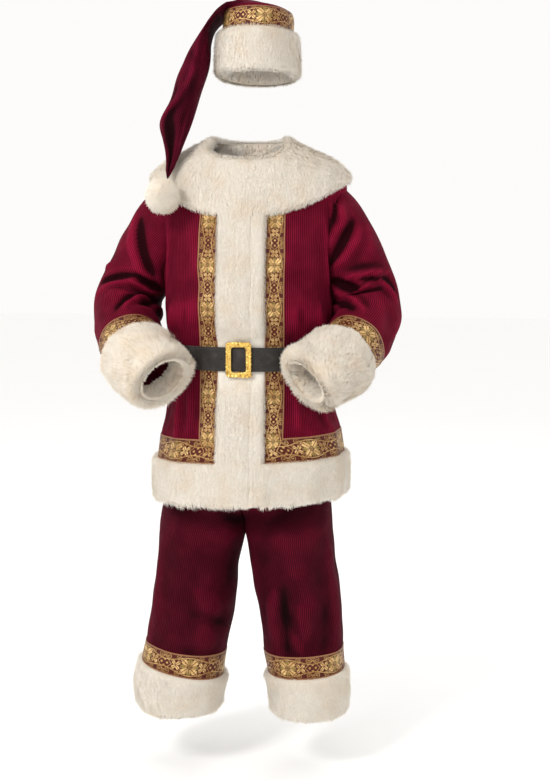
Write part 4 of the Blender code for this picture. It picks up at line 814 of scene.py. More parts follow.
# The hat's outer face: a row for each ring from the edge to the tip, and degrees round from the right
hat = {
    "sections": (  # row, inner x, inner height, outer x, outer height, half depth, middle y
        (0, -0.071, 1.722, 0.109, 1.722, 0.107, 0.0), (1, -0.069, 1.768, 0.107, 1.768, 0.106, 0.0),
        (2, -0.065, 1.815, 0.104, 1.815, 0.103, 0.0), (3, -0.06, 1.862, 0.101, 1.862, 0.097, 0.0),
        (4, -0.06, 1.866, 0.054, 1.878, 0.088, 0.0), (5, -0.063, 1.867, -0.002, 1.889, 0.08, -0.002),
        (6, -0.068, 1.862, -0.044, 1.876, 0.074, -0.006), (7, -0.0745, 1.85, -0.078, 1.854, 0.069, -0.011),
        (8, -0.088, 1.826, -0.105, 1.826, 0.064, -0.016), (9, -0.093, 1.795, -0.131, 1.793, 0.06, -0.021),
        (10, -0.094, 1.76, -0.153, 1.757, 0.056, -0.027), (11, -0.1, 1.718, -0.172, 1.714, 0.053, -0.034),
        (12, -0.114, 1.665, -0.186, 1.659, 0.048, -0.044), (13, -0.13, 1.617, -0.209, 1.61, 0.041, -0.055),
        (14, -0.142, 1.573, -0.201, 1.564, 0.033, -0.07), (15, -0.153, 1.533, -0.19, 1.524, 0.025, -0.09),
        (16, -0.164, 1.499, -0.187, 1.491, 0.014, -0.108)),
    "tip": (-0.1805, -0.1205, 1.466),
    "lean": 0.1, "leanEnds": 9,
    "furRow": 2, "ribbonRow": 3, "lastRow": 16,
    "creases": (  # degrees (270 in front), row, degrees, row, width, depth and any bend
        (196.0, 5.0, 262.0, 8.4, 0.013, -0.0085, 0.003), (262.0, 8.6, 256.0, 12.2, 0.016, 0.0048),
        (300.0, 10.8, 344.0, 13.4, 0.012, -0.007, 0.004), (300.0, 12.0, 350.0, 13.6, 0.008, 0.0045),
        (286.0, 12.4, 270.0, 16.4, 0.02, -0.009), (336.0, 9.4, 340.0, 15.0, 0.018, -0.005),
        (222.0, 12.2, 226.0, 15.6, 0.007, 0.0035), (250.0, 11.0, 326.0, 13.2, 0.01, 0.0045),
        (250.0, 3.6, 300.0, 5.6, 0.009, -0.005), (310.0, 3.5, 330.0, 6.0, 0.01, 0.0045),
        (60.0, 4.2, 110.0, 7.0, 0.011, -0.006), (120.0, 7.4, 96.0, 12.0, 0.011, -0.005),
        (70.0, 9.0, 60.0, 13.0, 0.01, 0.004), (20.0, 6.0, 40.0, 9.6, 0.01, -0.0045)),
    "pile": (  # strokes of painted shade (tone below 0) and painted light (above 0): degrees, row, degrees, row, fade before and after, tone
        (202.0, 5.0, 190.0, 8.9, 0.026, 0.026, -0.42), (200.0, 4.6, 262.0, 8.8, 0.01, 0.018, -0.24),
        (236.0, 10.8, 330.0, 13.5, 0.11, 0.004, -0.4), (285.0, 12.9, 276.0, 17.6, 0.05, 0.05, -0.44),
        (250.0, 10.7, 322.0, 12.7, 0.003, 0.014, 0.3), (212.0, 8.8, 232.0, 10.5, 0.012, 0.012, 0.36),
        (302.0, 9.5, 236.0, 10.6, 0.012, 0.012, -0.3), (230.0, 5.8, 268.0, 8.6, 0.014, 0.014, 0.26)),
    "degreeWidth": 0.0012, "rowLength": 0.036,
    "swell": 0.0012, "leastReach": 0.004, "mostGrowth": 0.5,
    "rowParts": 5, "columns": 64, "tipRows": (0.25, 0.5, 0.7, 0.85, 0.94), "tipThinness": 0.2,
    "steps": (0.12, 3.0),
}


def hatSurface(row, degrees):
    row, degrees = np.broadcast_arrays(np.asarray(row, float), np.asarray(degrees, float))
    onCone = np.minimum(row, hat["lastRow"])
    innerX, innerHeight, outerX, outerHeight, halfDepth, middleY = tableAt(hat["sections"], onCone)
    lean = hat["lean"] * (1.0 - smoothStep(hat["ribbonRow"], hat["leanEnds"], row))
    turn = np.radians(degrees)
    zero = np.zeros(row.shape)
    centre = np.stack([(innerX + outerX) / 2, middleY, (innerHeight + outerHeight) / 2], axis=-1)
    across = np.stack([(outerX - innerX) / 2, zero, (outerHeight - innerHeight) / 2], axis=-1)
    depth = halfDepth * np.sin(turn)
    spoke = across * np.cos(turn)[..., None] + np.stack([zero, depth, -lean * depth], axis=-1)
    out = creaseRelief(degrees, row, hat["creases"], hat["degreeWidth"], 360.0, hat["rowLength"])
    calm = smoothStep(hat["ribbonRow"] - 0.2, hat["ribbonRow"] + 1.0, row)
    out = (out + softWaves(centre + spoke, 21, hat["swell"])) * calm
    reach = np.linalg.norm(spoke, axis=-1)
    growth = np.clip(out / np.maximum(reach, hat["leastReach"]), -hat["mostGrowth"], hat["mostGrowth"])
    points = centre + spoke * (1.0 + growth)[..., None]
    past = np.clip(row - hat["lastRow"], 0.0, 1.0)[..., None]
    return points * (1.0 - past) + np.array(hat["tip"]) * past


# Ribbed velvet: round cords of pile along the cloth, with a nap that catches the light unevenly.
# A band is the low and high end of a fade, and its two results where they aren't 0 and 1.
velvetLook = {
    # The first pair is the velvet's colour in light and its painted shade, taken on in the rib grooves and
    # the folds' hollows
    "lit": (0.168, 0.004, 0.0215, 1.0), "valleyShade": (0.045, 0.001, 0.0055, 1.0),
    # The trousers' and the hat's pairs are darker copies of the same velvet, their darkness painted shade
    "trouserShadedLit": (0.068, 0.002, 0.009, 1.0), "trouserValleyShade": (0.017, 0.0006, 0.0028, 1.0),
    "hatShadedLit": (0.105, 0.0028, 0.015, 1.0), "hatValleyShade": (0.028, 0.0008, 0.0045, 1.0),
    "ribWidth": 0.005, "ribWander": 0.0016, "ribRoundness": 0.62, "ribBand": (0.1, 0.85),
    "wanderScale": 38.0, "napScale": 26.0, "crushScale": 9.0, "pileScale": 1500.0,
    "napShare": 0.6, "napBand": (0.36, 0.66), "crushed": 0.62, "pileBand": (0.25, 0.75, 0.82, 1.12),
    # Painted shade darkens the folds' hollows and painted light brightens their ridges
    "hollowShadeAt": -0.62, "hollowShadeTone": 0.12, "hollowShadeSoftness": 0.6, "ridgeLightAt": 0.5, "ridgeLightTone": 1.4,
    "roughnessBand": (0.3, 0.7, 0.9, 0.7), "pileHeight": 0.12, "bump": (0.75, 0.0011),
    "sheen": 0.05, "sheenTint": (0.9, 0.1, 0.24, 1.0), "sheenRoughness": 0.35, "shine": 0.05,
}


def ribGroup():
    look = velvetLook
    group, nodes, given, made = newGroup(
        "ribbed velvet pile",
        [("Flat", "Vector"), ("Place", "Vector"), ("Fold", "Float"), ("Rib width", "Float", look["ribWidth"]),
         ("Lit", "Color"), ("Valley", "Color")],
        [("Colour", "Color"), ("Height", "Float"), ("Roughness", "Float")])
    placeOnCloth, foldTone = given.outputs["Place"], given.outputs["Fold"]
    wander = nodes.minus(nodes.noise(placeOnCloth, look["wanderScale"], 1.0), 0.5)
    across = nodes.plus(nodes.parts(given.outputs["Flat"])[0], nodes.times(wander, look["ribWander"]))
    turn = nodes.times(nodes.math("DIVIDE", across, given.outputs["Rib width"]), 2 * math.pi)
    rounded = nodes.math("POWER", nodes.timesPlus(nodes.cosine(turn), 0.5, 0.5), look["ribRoundness"])
    pile = nodes.noise(placeOnCloth, look["pileScale"], 2.0, 0.7)
    nap = nodes.noise(placeOnCloth, look["napScale"], 3.0, 0.55)
    crush = nodes.noise(placeOnCloth, look["crushScale"], 2.0, 0.5)
    brushed = nodes.timesPlus(nap, look["napShare"], nodes.times(crush, 1.0 - look["napShare"]))
    tone = nodes.between(brushed, *look["napBand"], look["crushed"], 1.0)
    # painted shade in the folds' hollows and painted light on their ridges
    hollowShade = nodes.between(foldTone, look["hollowShadeAt"], 0.0, look["hollowShadeTone"], 1.0)
    ridgeLight = nodes.between(foldTone, 0.0, look["ridgeLightAt"], 1.0, look["ridgeLightTone"])
    tone = nodes.times(tone, nodes.times(hollowShade, ridgeLight))
    # the lit colour's share, smaller in the rib grooves and hollows as painted shade
    litShare = nodes.times(nodes.between(rounded, *look["ribBand"]), tone)
    colour = nodes.mix(litShare, given.outputs["Valley"], given.outputs["Lit"])
    # the pile's speckle is toned by the same painted shade and light
    depth = nodes.times(nodes.math("POWER", hollowShade, look["hollowShadeSoftness"]), ridgeLight)
    nodes.fill(made, {
        "Colour": nodes.toned(colour, nodes.times(nodes.between(pile, *look["pileBand"]), depth)),
        "Height": nodes.timesPlus(pile, look["pileHeight"], rounded),
        "Roughness": nodes.between(brushed, *look["roughnessBand"])})
    return group


def velvetMaterial(name, group, lit, valleyShade):
    look = velvetLook
    material, nodes, shader = newMaterial(name)
    # lit is the colour in light, and the other is the painted shade of the grooves and hollows
    pile = useGroup(nodes, group, {
        "Flat": flatCoordinates(nodes), "Place": objectCoordinates(nodes), "Fold": paintedFoldTone(nodes),
        "Rib width": look["ribWidth"], "Lit": look[lit], "Valley": look[valleyShade]})
    nodes.fill(shader, {
        "Base Color": pile.outputs["Colour"], "Roughness": pile.outputs["Roughness"],
        "Sheen Weight": look["sheen"], "Sheen Tint": look["sheenTint"],
        "Sheen Roughness": look["sheenRoughness"], "Specular IOR Level": look["shine"]})
    bumpInto(nodes, shader, pile.outputs["Height"], *look["bump"])
    return material


# Brocade ribbon: leafy rosettes, diagonal sprays and small lattices in ogee frames, between twisted
# cords. Its flat coordinates run across it from its middle and along it, for a ribbon 45 mm wide.
brocadeLook = {
    "repeat": 0.104, "cordInner": 0.0196, "wander": 0.0013,
    "leafRadius": 0.0186, "crossRadius": 0.0152, "rosetteStretch": 0.86, "heartRadius": 0.0034,
    "sprayRadius": 0.0115, "sprayAt": 0.0275,
    "scrollRadius": 0.0056, "scrollAt": 0.0145, "scrollPitch": 0.0034,
    "latticeStep": 0.0124, "latticeReach": 0.0138, "ogeeMiddle": 0.0124, "ogeeSwing": 0.0046,
    "ground": (0.075, 0.008, 0.004, 1.0), "gold": (0.35, 0.18, 0.05, 1.0),
    # the pale gold of the bold figures, also used for painted glints
    "paleAndGlint": (0.82, 0.56, 0.24, 1.0), "olive": (0.3, 0.225, 0.06, 1.0),
    "cord": (0.47, 0.24, 0.11, 1.0), "cordShade": (0.2, 0.07, 0.035, 1.0),
    "cordSlant": 1.3, "cordTwist": 0.0036, "threadStep": 0.00062, "threadBand": (-1.0, 1.0, 0.8, 1.06),
    "toothStep": 0.0068, "lineWidth": 0.0011, "wanderScale": 230.0, "glintScale": 480.0, "wornScale": 34.0,
    "roughnessBand": (0.3, 0.7, 0.52, 0.32), "metal": 0.38, "shine": 0.2, "bump": (0.8, 0.0006),
}


def polar(nodes, x, y):
    squares = nodes.plus(nodes.times(x, x), nodes.times(y, y))
    return nodes.math("SQRT", squares), nodes.math("ARCTAN2", y, x)


def leafFigure(nodes, radius, angle, size, lobes, sharpness, turned=0.0):
    # leaves round a middle, each with toothed edges and a dark vein
    swung = nodes.times(nodes.minus(angle, turned), lobes / 2)
    lobe = nodes.math("POWER", nodes.size(nodes.cosine(swung)), sharpness)
    teeth = nodes.size(nodes.sine(nodes.times(radius, 2 * math.pi / brocadeLook["toothStep"])))
    reach = nodes.times(lobe, nodes.timesPlus(teeth, size * 0.22, size * 0.86))
    leaf = nodes.between(nodes.minus(reach, radius), -0.0002, 0.0006)
    fromVein = nodes.size(nodes.sine(swung))
    vein = nodes.between(nodes.times(fromVein, radius), 0.0006, 0.0018)
    return nodes.times(leaf, vein), reach


def scroll(nodes, x, y, size, pitch):
    # a tendril that winds in on itself
    radius, angle = polar(nodes, x, y)
    winding = nodes.timesPlus(angle, 1.0 / (2 * math.pi), nodes.math("DIVIDE", radius, pitch))
    fromLine = nodes.apart(nodes.math("FRACT", winding), 0.5)
    return nodes.times(nodes.between(fromLine, 0.12, 0.22, 1.0, 0.0),
                      nodes.between(radius, size, size + 0.0006, 1.0, 0.0))


def thinLine(nodes, distance, width):
    return nodes.between(nodes.size(distance), width * 0.5, width, 1.0, 0.0)


def brocadeMaterial():
    look = brocadeLook
    material, nodes, shader = newMaterial("gold brocade ribbon")
    placeOnCloth = objectCoordinates(nodes)
    flatAcross, flatAlong, _ = nodes.parts(flatCoordinates(nodes))
    wander = nodes.noise(placeOnCloth, look["wanderScale"], 1.0)
    shake = nodes.times(nodes.minus(wander, 0.5), look["wander"])
    x = nodes.plus(flatAcross, shake)
    along = nodes.plus(flatAlong, shake)
    side = nodes.size(x)
    half = look["repeat"] / 2
    y = nodes.minus(nodes.math("FLOORED_MODULO", along, look["repeat"]), half)
    fromRosette = nodes.size(y)
    fromLattice = nodes.minus(half, fromRosette)

    radius, angle = polar(nodes, x, nodes.times(y, look["rosetteStretch"]))
    leaves, leafReach = leafFigure(nodes, radius, angle, look["leafRadius"], 4.0, 0.8, math.pi / 4)
    crossLeaves, crossReach = leafFigure(nodes, radius, angle, look["crossRadius"], 4.0, 0.7)
    reach = nodes.larger(leafReach, crossReach)
    edges = nodes.between(nodes.apart(leafReach, crossReach), 0.0008, 0.0024)
    petals = nodes.times(nodes.larger(leaves, crossLeaves), edges)
    ringGap = nodes.between(nodes.apart(radius, look["heartRadius"]),
                            0.0005, 0.0012)
    petals = nodes.times(petals, ringGap)
    olive = nodes.times(nodes.minus(1.0, leaves), crossLeaves)
    outside = nodes.between(nodes.minus(radius, reach), 0.0004, 0.001)

    sprayY = nodes.minus(fromRosette, look["sprayAt"])
    sprayRadius, sprayAngle = polar(nodes, x, sprayY)
    spray, _ = leafFigure(nodes, sprayRadius, sprayAngle, look["sprayRadius"], 4.0, 0.85, math.pi / 4)
    curlX = nodes.minus(side, look["scrollAt"])
    curls = scroll(nodes, curlX, nodes.minus(fromRosette, look["sprayAt"] - 0.0045),
                   look["scrollRadius"], look["scrollPitch"])
    sideCurls = scroll(nodes, curlX, nodes.minus(fromLattice, 0.0088), look["scrollRadius"] * 0.85,
                       look["scrollPitch"])
    endRadius, endAngle = polar(nodes, nodes.minus(side, look["scrollAt"] + 0.002), fromLattice)
    end, _ = leafFigure(nodes, endRadius, endAngle, look["scrollRadius"], 4.0, 0.6, math.pi / 4)

    step = look["latticeStep"]
    florets = []
    for sign in (1.0, -1.0):
        slant = nodes.math("DIVIDE", nodes.timesPlus(fromLattice, sign, x), step)
        cell = nodes.apart(nodes.math("FRACT", slant), 0.5)
        florets.append(nodes.times(cell, cell))
    floret = nodes.between(nodes.plus(florets[0], florets[1]), 0.045, 0.09, 1.0, 0.0)
    diamond = nodes.plus(side, fromLattice)
    inLattice = nodes.between(diamond, look["latticeReach"], look["latticeReach"] + 0.0008, 1.0, 0.0)
    latticeMask = nodes.times(inLattice, floret)
    frameLine = thinLine(nodes, nodes.minus(diamond, look["latticeReach"] + 0.0016), look["lineWidth"])

    phase = nodes.times(along, 2 * math.pi / look["repeat"])
    swing = nodes.timesPlus(nodes.cosine(phase), -look["ogeeSwing"], look["ogeeMiddle"])
    fromOgee = nodes.minus(side, swing)
    ogee = nodes.times(thinLine(nodes, fromOgee, look["lineWidth"]), outside)
    gap = nodes.between(nodes.size(fromOgee), 0.0008, 0.0014)
    ferns = nodes.times(nodes.larger(nodes.larger(curls, sideCurls), end), gap)
    ferns = nodes.times(ferns, outside)
    pastFrame = nodes.between(diamond, 0.0172, 0.0182)
    spray = nodes.times(spray, nodes.times(outside, pastFrame))

    inCord = nodes.between(side, look["cordInner"] - 0.0002, look["cordInner"] + 0.0002)
    slope = nodes.timesPlus(side, look["cordSlant"], flatAlong)
    twist = nodes.sine(nodes.times(slope, 2 * math.pi / look["cordTwist"]))
    cordGap = nodes.between(nodes.apart(side, look["cordInner"]),
                            0.0002, 0.0006, 0.35, 1.0)

    threads = nodes.sine(nodes.times(flatAlong, 2 * math.pi / look["threadStep"]))
    # glint and a second noise pick where the gold is painted pale, as glints
    glint = nodes.noise(placeOnCloth, look["glintScale"], 2.0, 0.7)
    worn = nodes.noise(placeOnCloth, look["wornScale"], 3.0, 0.6)
    bold = nodes.larger(petals, spray)
    figure = nodes.larger(bold, latticeMask)
    for part in (frameLine, ogee, ferns):
        figure = nodes.larger(figure, part)
    colour = nodes.mix(figure, look["ground"], look["gold"])
    # pale gold on the bold figures, and painted glints where the two noises run high
    bright = nodes.times(nodes.larger(bold, nodes.times(figure, 0.55)),
                        nodes.between(nodes.plus(glint, worn), 0.86, 1.14, 0.15, 1.0))
    colour = nodes.mix(bright, colour, look["paleAndGlint"])
    colour = nodes.mix(nodes.times(olive, nodes.between(glint, 0.35, 0.6, 0.6, 1.0)), colour,
                       look["olive"])
    cordColour = nodes.mix(nodes.between(twist, -0.6, 0.5), look["cordShade"], look["cord"])
    colour = nodes.mix(inCord, colour, cordColour)
    metal = nodes.larger(figure, nodes.times(inCord, 0.5))
    nodes.fill(shader, {
        "Base Color": nodes.toned(colour, nodes.times(nodes.between(threads, *look["threadBand"]), cordGap)),
        "Metallic": nodes.times(metal, look["metal"]),
        "Roughness": nodes.between(glint, *look["roughnessBand"]), "Specular IOR Level": look["shine"]})
    raised = nodes.timesPlus(figure, 0.75, nodes.times(threads, 0.1))
    raised = nodes.plus(raised, nodes.times(nodes.times(inCord, twist), 0.5))
    bumpInto(nodes, shader, raised, *look["bump"])
    return material


# White fur: shaded at the roots, warm along the strands and pale at the tips
furLook = {
    "root": (0.8, 0.705, 0.57, 1.0), "middle": (0.93, 0.872, 0.782, 1.0), "tip": (0.975, 0.932, 0.856, 1.0),
    "rootEnds": 0.5, "tipStarts": 0.4, "strandBand": (0.0, 1.0, 0.93, 1.03),
    "warm": (0.93, 0.86, 0.77, 1.0), "mottle": 0.55, "mottleScale": 16.0, "mottleBand": (0.4, 0.7),
    "roughnessBand": (0.3, 0.7, 0.95, 0.78), "sheen": 0.25, "shine": 0.2, "through": 0.22,
    "fibreScale": 900.0, "bump": (0.2, 0.0005),
}


def furMaterial(name, warmth=1.0, cast=(1.0, 1.0, 1.0, 1.0)):
    look = furLook
    material, nodes, shader = newMaterial(name)
    strand, height, _ = nodes.parts(flatCoordinates(nodes))
    colour = nodes.mix(nodes.between(height, 0.0, look["rootEnds"]), look["root"], look["middle"])
    colour = nodes.mix(nodes.between(height, look["tipStarts"], 1.0), colour, look["tip"])
    mottle = nodes.noise(objectCoordinates(nodes), look["mottleScale"], 3.0, 0.6)
    patches = nodes.times(nodes.between(mottle, *look["mottleBand"]), look["mottle"] * warmth)
    colour = nodes.mix(patches, colour, look["warm"], "MULTIPLY")
    colour = nodes.mix(1.0, colour, cast, "MULTIPLY")
    colour = nodes.toned(colour, nodes.between(strand, *look["strandBand"]))
    nodes.fill(shader, {
        "Base Color": colour, "Roughness": nodes.between(mottle, *look["roughnessBand"]),
        "Sheen Weight": look["sheen"], "Specular IOR Level": look["shine"]})
    fibres = nodes.noise(objectCoordinates(nodes), look["fibreScale"], 2.0, 0.6)
    bumpInto(nodes, shader, fibres, *look["bump"])
    # a strand seen from behind is lit through
    through = nodes.add("BsdfTranslucent")
    nodes.plug(through.inputs["Color"], colour)
    both = nodes.add("MixShader")
    for place, value in enumerate((look["through"], shader.outputs[0], through.outputs[0])):
        nodes.plug(both.inputs[place], value)
    nodes.plug(nodes.tree.nodes["Material Output"].inputs["Surface"], both.outputs[0])
    return material


# Belt leather: fine grain, worn edges, a pressed line near each edge and punched holes painted near-black as
# the shade inside them
leatherLook = {
    "charcoal": (0.017, 0.014, 0.012, 1.0), "worn": (0.058, 0.048, 0.042, 1.0),
    "hole": (0.004, 0.004, 0.004, 1.0), "holeRadius": 0.0022, "holes": (-0.046, -0.078, -0.11, 0.046),
    "grainScale": 420.0, "grainBand": (0.0, 0.1), "grainHeight": 0.18, "bump": (0.7, 0.0007),
    "scuffScale": 46.0, "scuffBand": (0.42, 0.72, 0.0, 0.55), "wearWidth": 0.0026, "wearBand": (0.4, 0.6),
    "edgeLine": 0.005, "lineBand": (0.0003, 0.0008, 1.0, 0.0), "lineDepth": 0.55,
    "stitch": 0.0042, "stitchBand": (-0.3, 0.2), "stitchHeight": 0.75, "stitchTone": 0.6,
    "roughnessBand": (0.3, 0.7, 0.5, 0.68), "shine": 0.3,
}


def leatherMaterial(halfWidth):
    look = leatherLook
    material, nodes, shader = newMaterial("charcoal belt leather")
    along, across, _ = nodes.parts(flatCoordinates(nodes))
    placeOnBelt = objectCoordinates(nodes)
    grain = nodes.add("TexVoronoi", feature="DISTANCE_TO_EDGE")
    nodes.fill(grain, {"Vector": placeOnBelt, "Scale": look["grainScale"]})
    scuffs = nodes.noise(placeOnBelt, look["scuffScale"], 4.0, 0.65)
    fromEdge = nodes.minus(halfWidth, nodes.size(across))
    nearEdge = nodes.between(fromEdge, 0.0, look["wearWidth"], 1.0, 0.0)
    edgeWear = nodes.times(nearEdge, nodes.between(scuffs, *look["wearBand"]))
    colour = nodes.mix(nodes.between(scuffs, *look["scuffBand"]), look["charcoal"], look["worn"])
    colour = nodes.mix(edgeWear, colour, look["worn"])
    line = nodes.between(nodes.apart(fromEdge, look["edgeLine"]), *look["lineBand"])
    thread = nodes.sine(nodes.times(along, 2 * math.pi / look["stitch"]))
    sewn = nodes.times(line, nodes.between(thread, *look["stitchBand"]))
    colour = nodes.mix(nodes.times(sewn, look["stitchTone"]), colour, look["worn"])
    punched = None
    # each punched hole is painted near-black, as the shade inside it
    for hole in look["holes"]:
        over = nodes.minus(along, hole)
        distance = nodes.math("SQRT", nodes.plus(nodes.times(over, over), nodes.times(across, across)))
        one = nodes.between(distance, look["holeRadius"] * 0.7, look["holeRadius"], 1.0, 0.0)
        punched = one if punched is None else nodes.larger(punched, one)
    nodes.fill(shader, {
        "Base Color": nodes.mix(punched, colour, look["hole"]),
        "Roughness": nodes.between(scuffs, *look["roughnessBand"]), "Specular IOR Level": look["shine"]})
    pebbles = nodes.times(nodes.between(grain.outputs[0], *look["grainBand"]), look["grainHeight"])
    height = nodes.minus(pebbles, nodes.times(line, look["lineDepth"]))
    height = nodes.minus(nodes.timesPlus(sewn, look["stitchHeight"], height), punched)
    bumpInto(nodes, shader, height, *look["bump"])
    return material


# Buckle gold: cast and hammered, darker in its hollows
goldLook = {
    "bright": (0.9, 0.62, 0.17, 1.0), "deep": (0.42, 0.23, 0.05, 1.0),
    "dentScale": 210.0, "dentBand": (0.15, 0.6, 0.75, 0.0), "bump": (0.6, 0.0009),
    "tarnishScale": 130.0, "tarnishBand": (0.42, 0.66), "roughnessBand": (0.3, 0.7, 0.2, 0.36),
}


def goldMaterial():
    look = goldLook
    material, nodes, shader = newMaterial("hammered buckle gold")
    placeOnBuckle = objectCoordinates(nodes)
    dents = nodes.add("TexVoronoi", feature="SMOOTH_F1")
    nodes.fill(dents, {"Vector": placeOnBuckle, "Scale": look["dentScale"]})
    tarnish = nodes.noise(placeOnBuckle, look["tarnishScale"], 3.0, 0.6)
    colour = nodes.mix(nodes.between(tarnish, *look["tarnishBand"]), look["bright"], look["deep"])
    colour = nodes.mix(nodes.between(dents.outputs[0], *look["dentBand"]), colour, look["bright"])
    nodes.fill(shader, {
        "Base Color": colour, "Metallic": 1.0, "Roughness": nodes.between(tarnish, *look["roughnessBand"])})
    bumpInto(nodes, shader, dents.outputs[0], *look["bump"])
    return material


ribs = ribGroup()
jacketVelvet = velvetMaterial("burgundy ribbed velvet", ribs, "lit", "valleyShade")
# the trousers and the hat take darker copies of the velvet's colours, as painted shade
trouserVelvet = velvetMaterial("trouser ribbed velvet", ribs, "trouserShadedLit", "trouserValleyShade")
hatVelvet = velvetMaterial("hat ribbed velvet", ribs, "hatShadedLit", "hatValleyShade")
brocade = brocadeMaterial()
trimFur = furMaterial("white trim fur")
fluffyFur = furMaterial("fluffy cuff fur", 1.3, (0.965, 0.945, 0.915, 1.0))
buckleGold = goldMaterial()
print("Materials made")


# Jacket panels, each a wall with its own ribs, and the armholes and sleeves cut to fit each other
jacketBack = jacketPanel("jacket_back_cloth", leftSeam, rightSeam, backMiddle, jacketVelvet)
jacketLeft = jacketPanel("jacket_front_left_cloth", 0, leftSeam, 0, jacketVelvet)
jacketRight = jacketPanel("jacket_front_right_cloth", rightSeam, lastColumn, lastColumn, jacketVelvet)


def makeSleeve(name, surface, length, side):
    stations, angles = spread(0.0, length, sleeve["stationStep"]), fullTurn(sleeve["columns"])
    stationGrid, angleGrid, points, normals = gridOn(surface, stations, angles, sleeve["steps"])
    uv = clothUv(points, normals, sleeve["columns"] // 2, True)
    # strokes of painted shade and light join the fold channel
    strokes = sleeve["leftLightAndShade" if side > 0 else "rightLightAndShade"]
    uv[..., 2] += lightAndShadeStrokes(side * angleGrid, stationGrid, strokes, sleeve["degreeWidth"], 360.0)
    return makeWall(name, points, normals, -clothThickness, 0.0, uv, jacketVelvet, closed=True)


def makeCutter(name, surface, rows, columns, steps, grown):
    # a solid plug of the tube's own form, grown outwards by a little and closed at both ends
    _, _, points, normals = gridOn(surface, rows, columns, steps)
    points = (points + normals * grown)[:, :-1]
    count = points.shape[1]
    index = np.arange(points[..., 0].size).reshape(points.shape[:2])
    index = np.column_stack([index, index[:, :1]])
    quads = np.stack([index[:-1, :-1], index[:-1, 1:], index[1:, 1:], index[1:, :-1]], axis=2).reshape(-1, 4)
    low, high = points[..., 0].size, points[..., 0].size + 1
    ends = [np.stack([index[0, 1:], index[0, :-1], np.full(count, low)], axis=1),
            np.stack([index[-1, :-1], index[-1, 1:], np.full(count, high)], axis=1)]
    corners = np.concatenate([quads.ravel(), ends[0].ravel(), ends[1].ravel()])
    sizesOfFaces = np.concatenate([np.full(len(quads), 4), np.full(2 * count, 3)])
    vertices = np.vstack([points.reshape(-1, 3), points[0].mean(axis=0), points[-1].mean(axis=0)])
    return newMesh(name, vertices, corners, sizesOfFaces, np.zeros((len(corners), 2)), jacketVelvet)


bodyCutter = makeCutter("body_space", jacketSurface, spread(0, lastRow, jacket["cutterRowStep"]),
                        spread(0, lastColumn, jacket["columnStep"]), jacket["steps"], -sleeve["sunkAtSeam"])
sleeves, sleeveSurfaces, sleeveLengths = {}, {}, {}
for side, name, front in ((1, "left", jacketLeft), (-1, "right", jacketRight)):
    surface, length = sleeveSurfaceFor(side)
    sleeveSurfaces[name], sleeveLengths[name] = surface, length
    sleeves[name] = makeSleeve("sleeve_" + name + "_cloth", surface, length, side)
    cutter = makeCutter("sleeve_space", surface, spread(0.0, length, sleeve["cutterStep"]),
                        np.linspace(0.0, 360.0, sleeve["cutterColumns"] + 1), sleeve["steps"], 0.0)
    applyBoolean(sleeves[name], bodyCutter)
    applyBoolean(front, cutter)
    applyBoolean(jacketBack, cutter)
    bpy.data.objects.remove(cutter)
bpy.data.objects.remove(bodyCutter)
place(jacketBack, "burgundy_velvet", "jacket_back")
place(jacketLeft, "burgundy_velvet", "jacket_front_left")
place(jacketRight, "burgundy_velvet", "jacket_front_right")
for name in ("left", "right"):
    place(sleeves[name], "burgundy_velvet", "sleeve_" + name)
print("Jacket and sleeves made")


# Trousers: a front and a back panel for each leg, and the waistband inside the jacket
def makeTrouserPanel(node, surface, side, rear):
    def panelSurface(level, share):
        return surface(level, np.clip(share, 0.0, 1.0), rear)

    halfGap = seamGap / 2 / trousers["shareWidth"]
    shares = np.linspace(halfGap, 1.0 - halfGap, trousers["columns"] + 1)
    levelStep, shareStep = trousers["steps"]
    if (side > 0) != rear:
        shares, shareStep = shares[::-1], -shareStep
    levels = spread(trousers["hem"], trousers["top"], trousers["heightStep"])
    levelGrid, shareGrid, points, normals = gridOn(panelSurface, levels, shares, (levelStep, shareStep))
    uv = clothUv(points, normals, trousers["columns"] // 2)
    # strokes of painted shade and light join the fold channel
    strokes = trousers["leftLightAndShade" if side > 0 else "rightLightAndShade"]
    turns = 2.0 - shareGrid if rear else shareGrid
    uv[..., 2] += lightAndShadeStrokes(turns, levelGrid, strokes, trousers["shareWidth"], 2.0)
    cloth = makeWall(node + "_cloth", points, normals, -clothThickness, 0.0, uv, trouserVelvet)
    return place(cloth, "burgundy_velvet", node)


legSurfaces, trouserPanels = {}, {}
for side, name in ((1, "left"), (-1, "right")):
    legSurfaces[name] = legSurfaceFor(side)
    for rear, panel in ((False, "front"), (True, "back")):
        node = "trousers_" + panel + "_" + name
        trouserPanels[panel, name] = makeTrouserPanel(node, legSurfaces[name], side, rear)

waistbandCut = {"lowRow": 7, "highRow": 8, "rowStep": 0.2, "columnStep": 0.35, "thickness": 0.003}
rows = spread(waistbandCut["lowRow"], waistbandCut["highRow"], waistbandCut["rowStep"])
columns = spread(0, lastColumn, waistbandCut["columnStep"])
_, _, points, normals = gridOn(jacketSurface, rows, columns, jacket["steps"])
outer = -clothThickness - seamGap
waistband = makeWall("trousers_waistband_cloth", points, normals, outer - waistbandCut["thickness"], outer,
                     clothUv(points, normals, closed=True), trouserVelvet, closed=True)
place(waistband, "burgundy_velvet", "trousers_waistband")
print("Trousers made")

# Hat: one cone of velvet that folds over and hangs, closed at its tip
rows = throughKnots(range(hat["lastRow"] + 1), [hat["rowParts"]] * hat["lastRow"])
rows = np.concatenate([rows, hat["lastRow"] + np.array(hat["tipRows"])])
rowGrid, degreeGrid, points, normals = gridOn(hatSurface, rows, fullTurn(hat["columns"]), hat["steps"])
thickness = clothThickness * np.interp(rows, (hat["lastRow"], hat["lastRow"] + 1), (1.0, hat["tipThinness"]))
uv = clothUv(points, normals, hat["columns"] // 2, True)
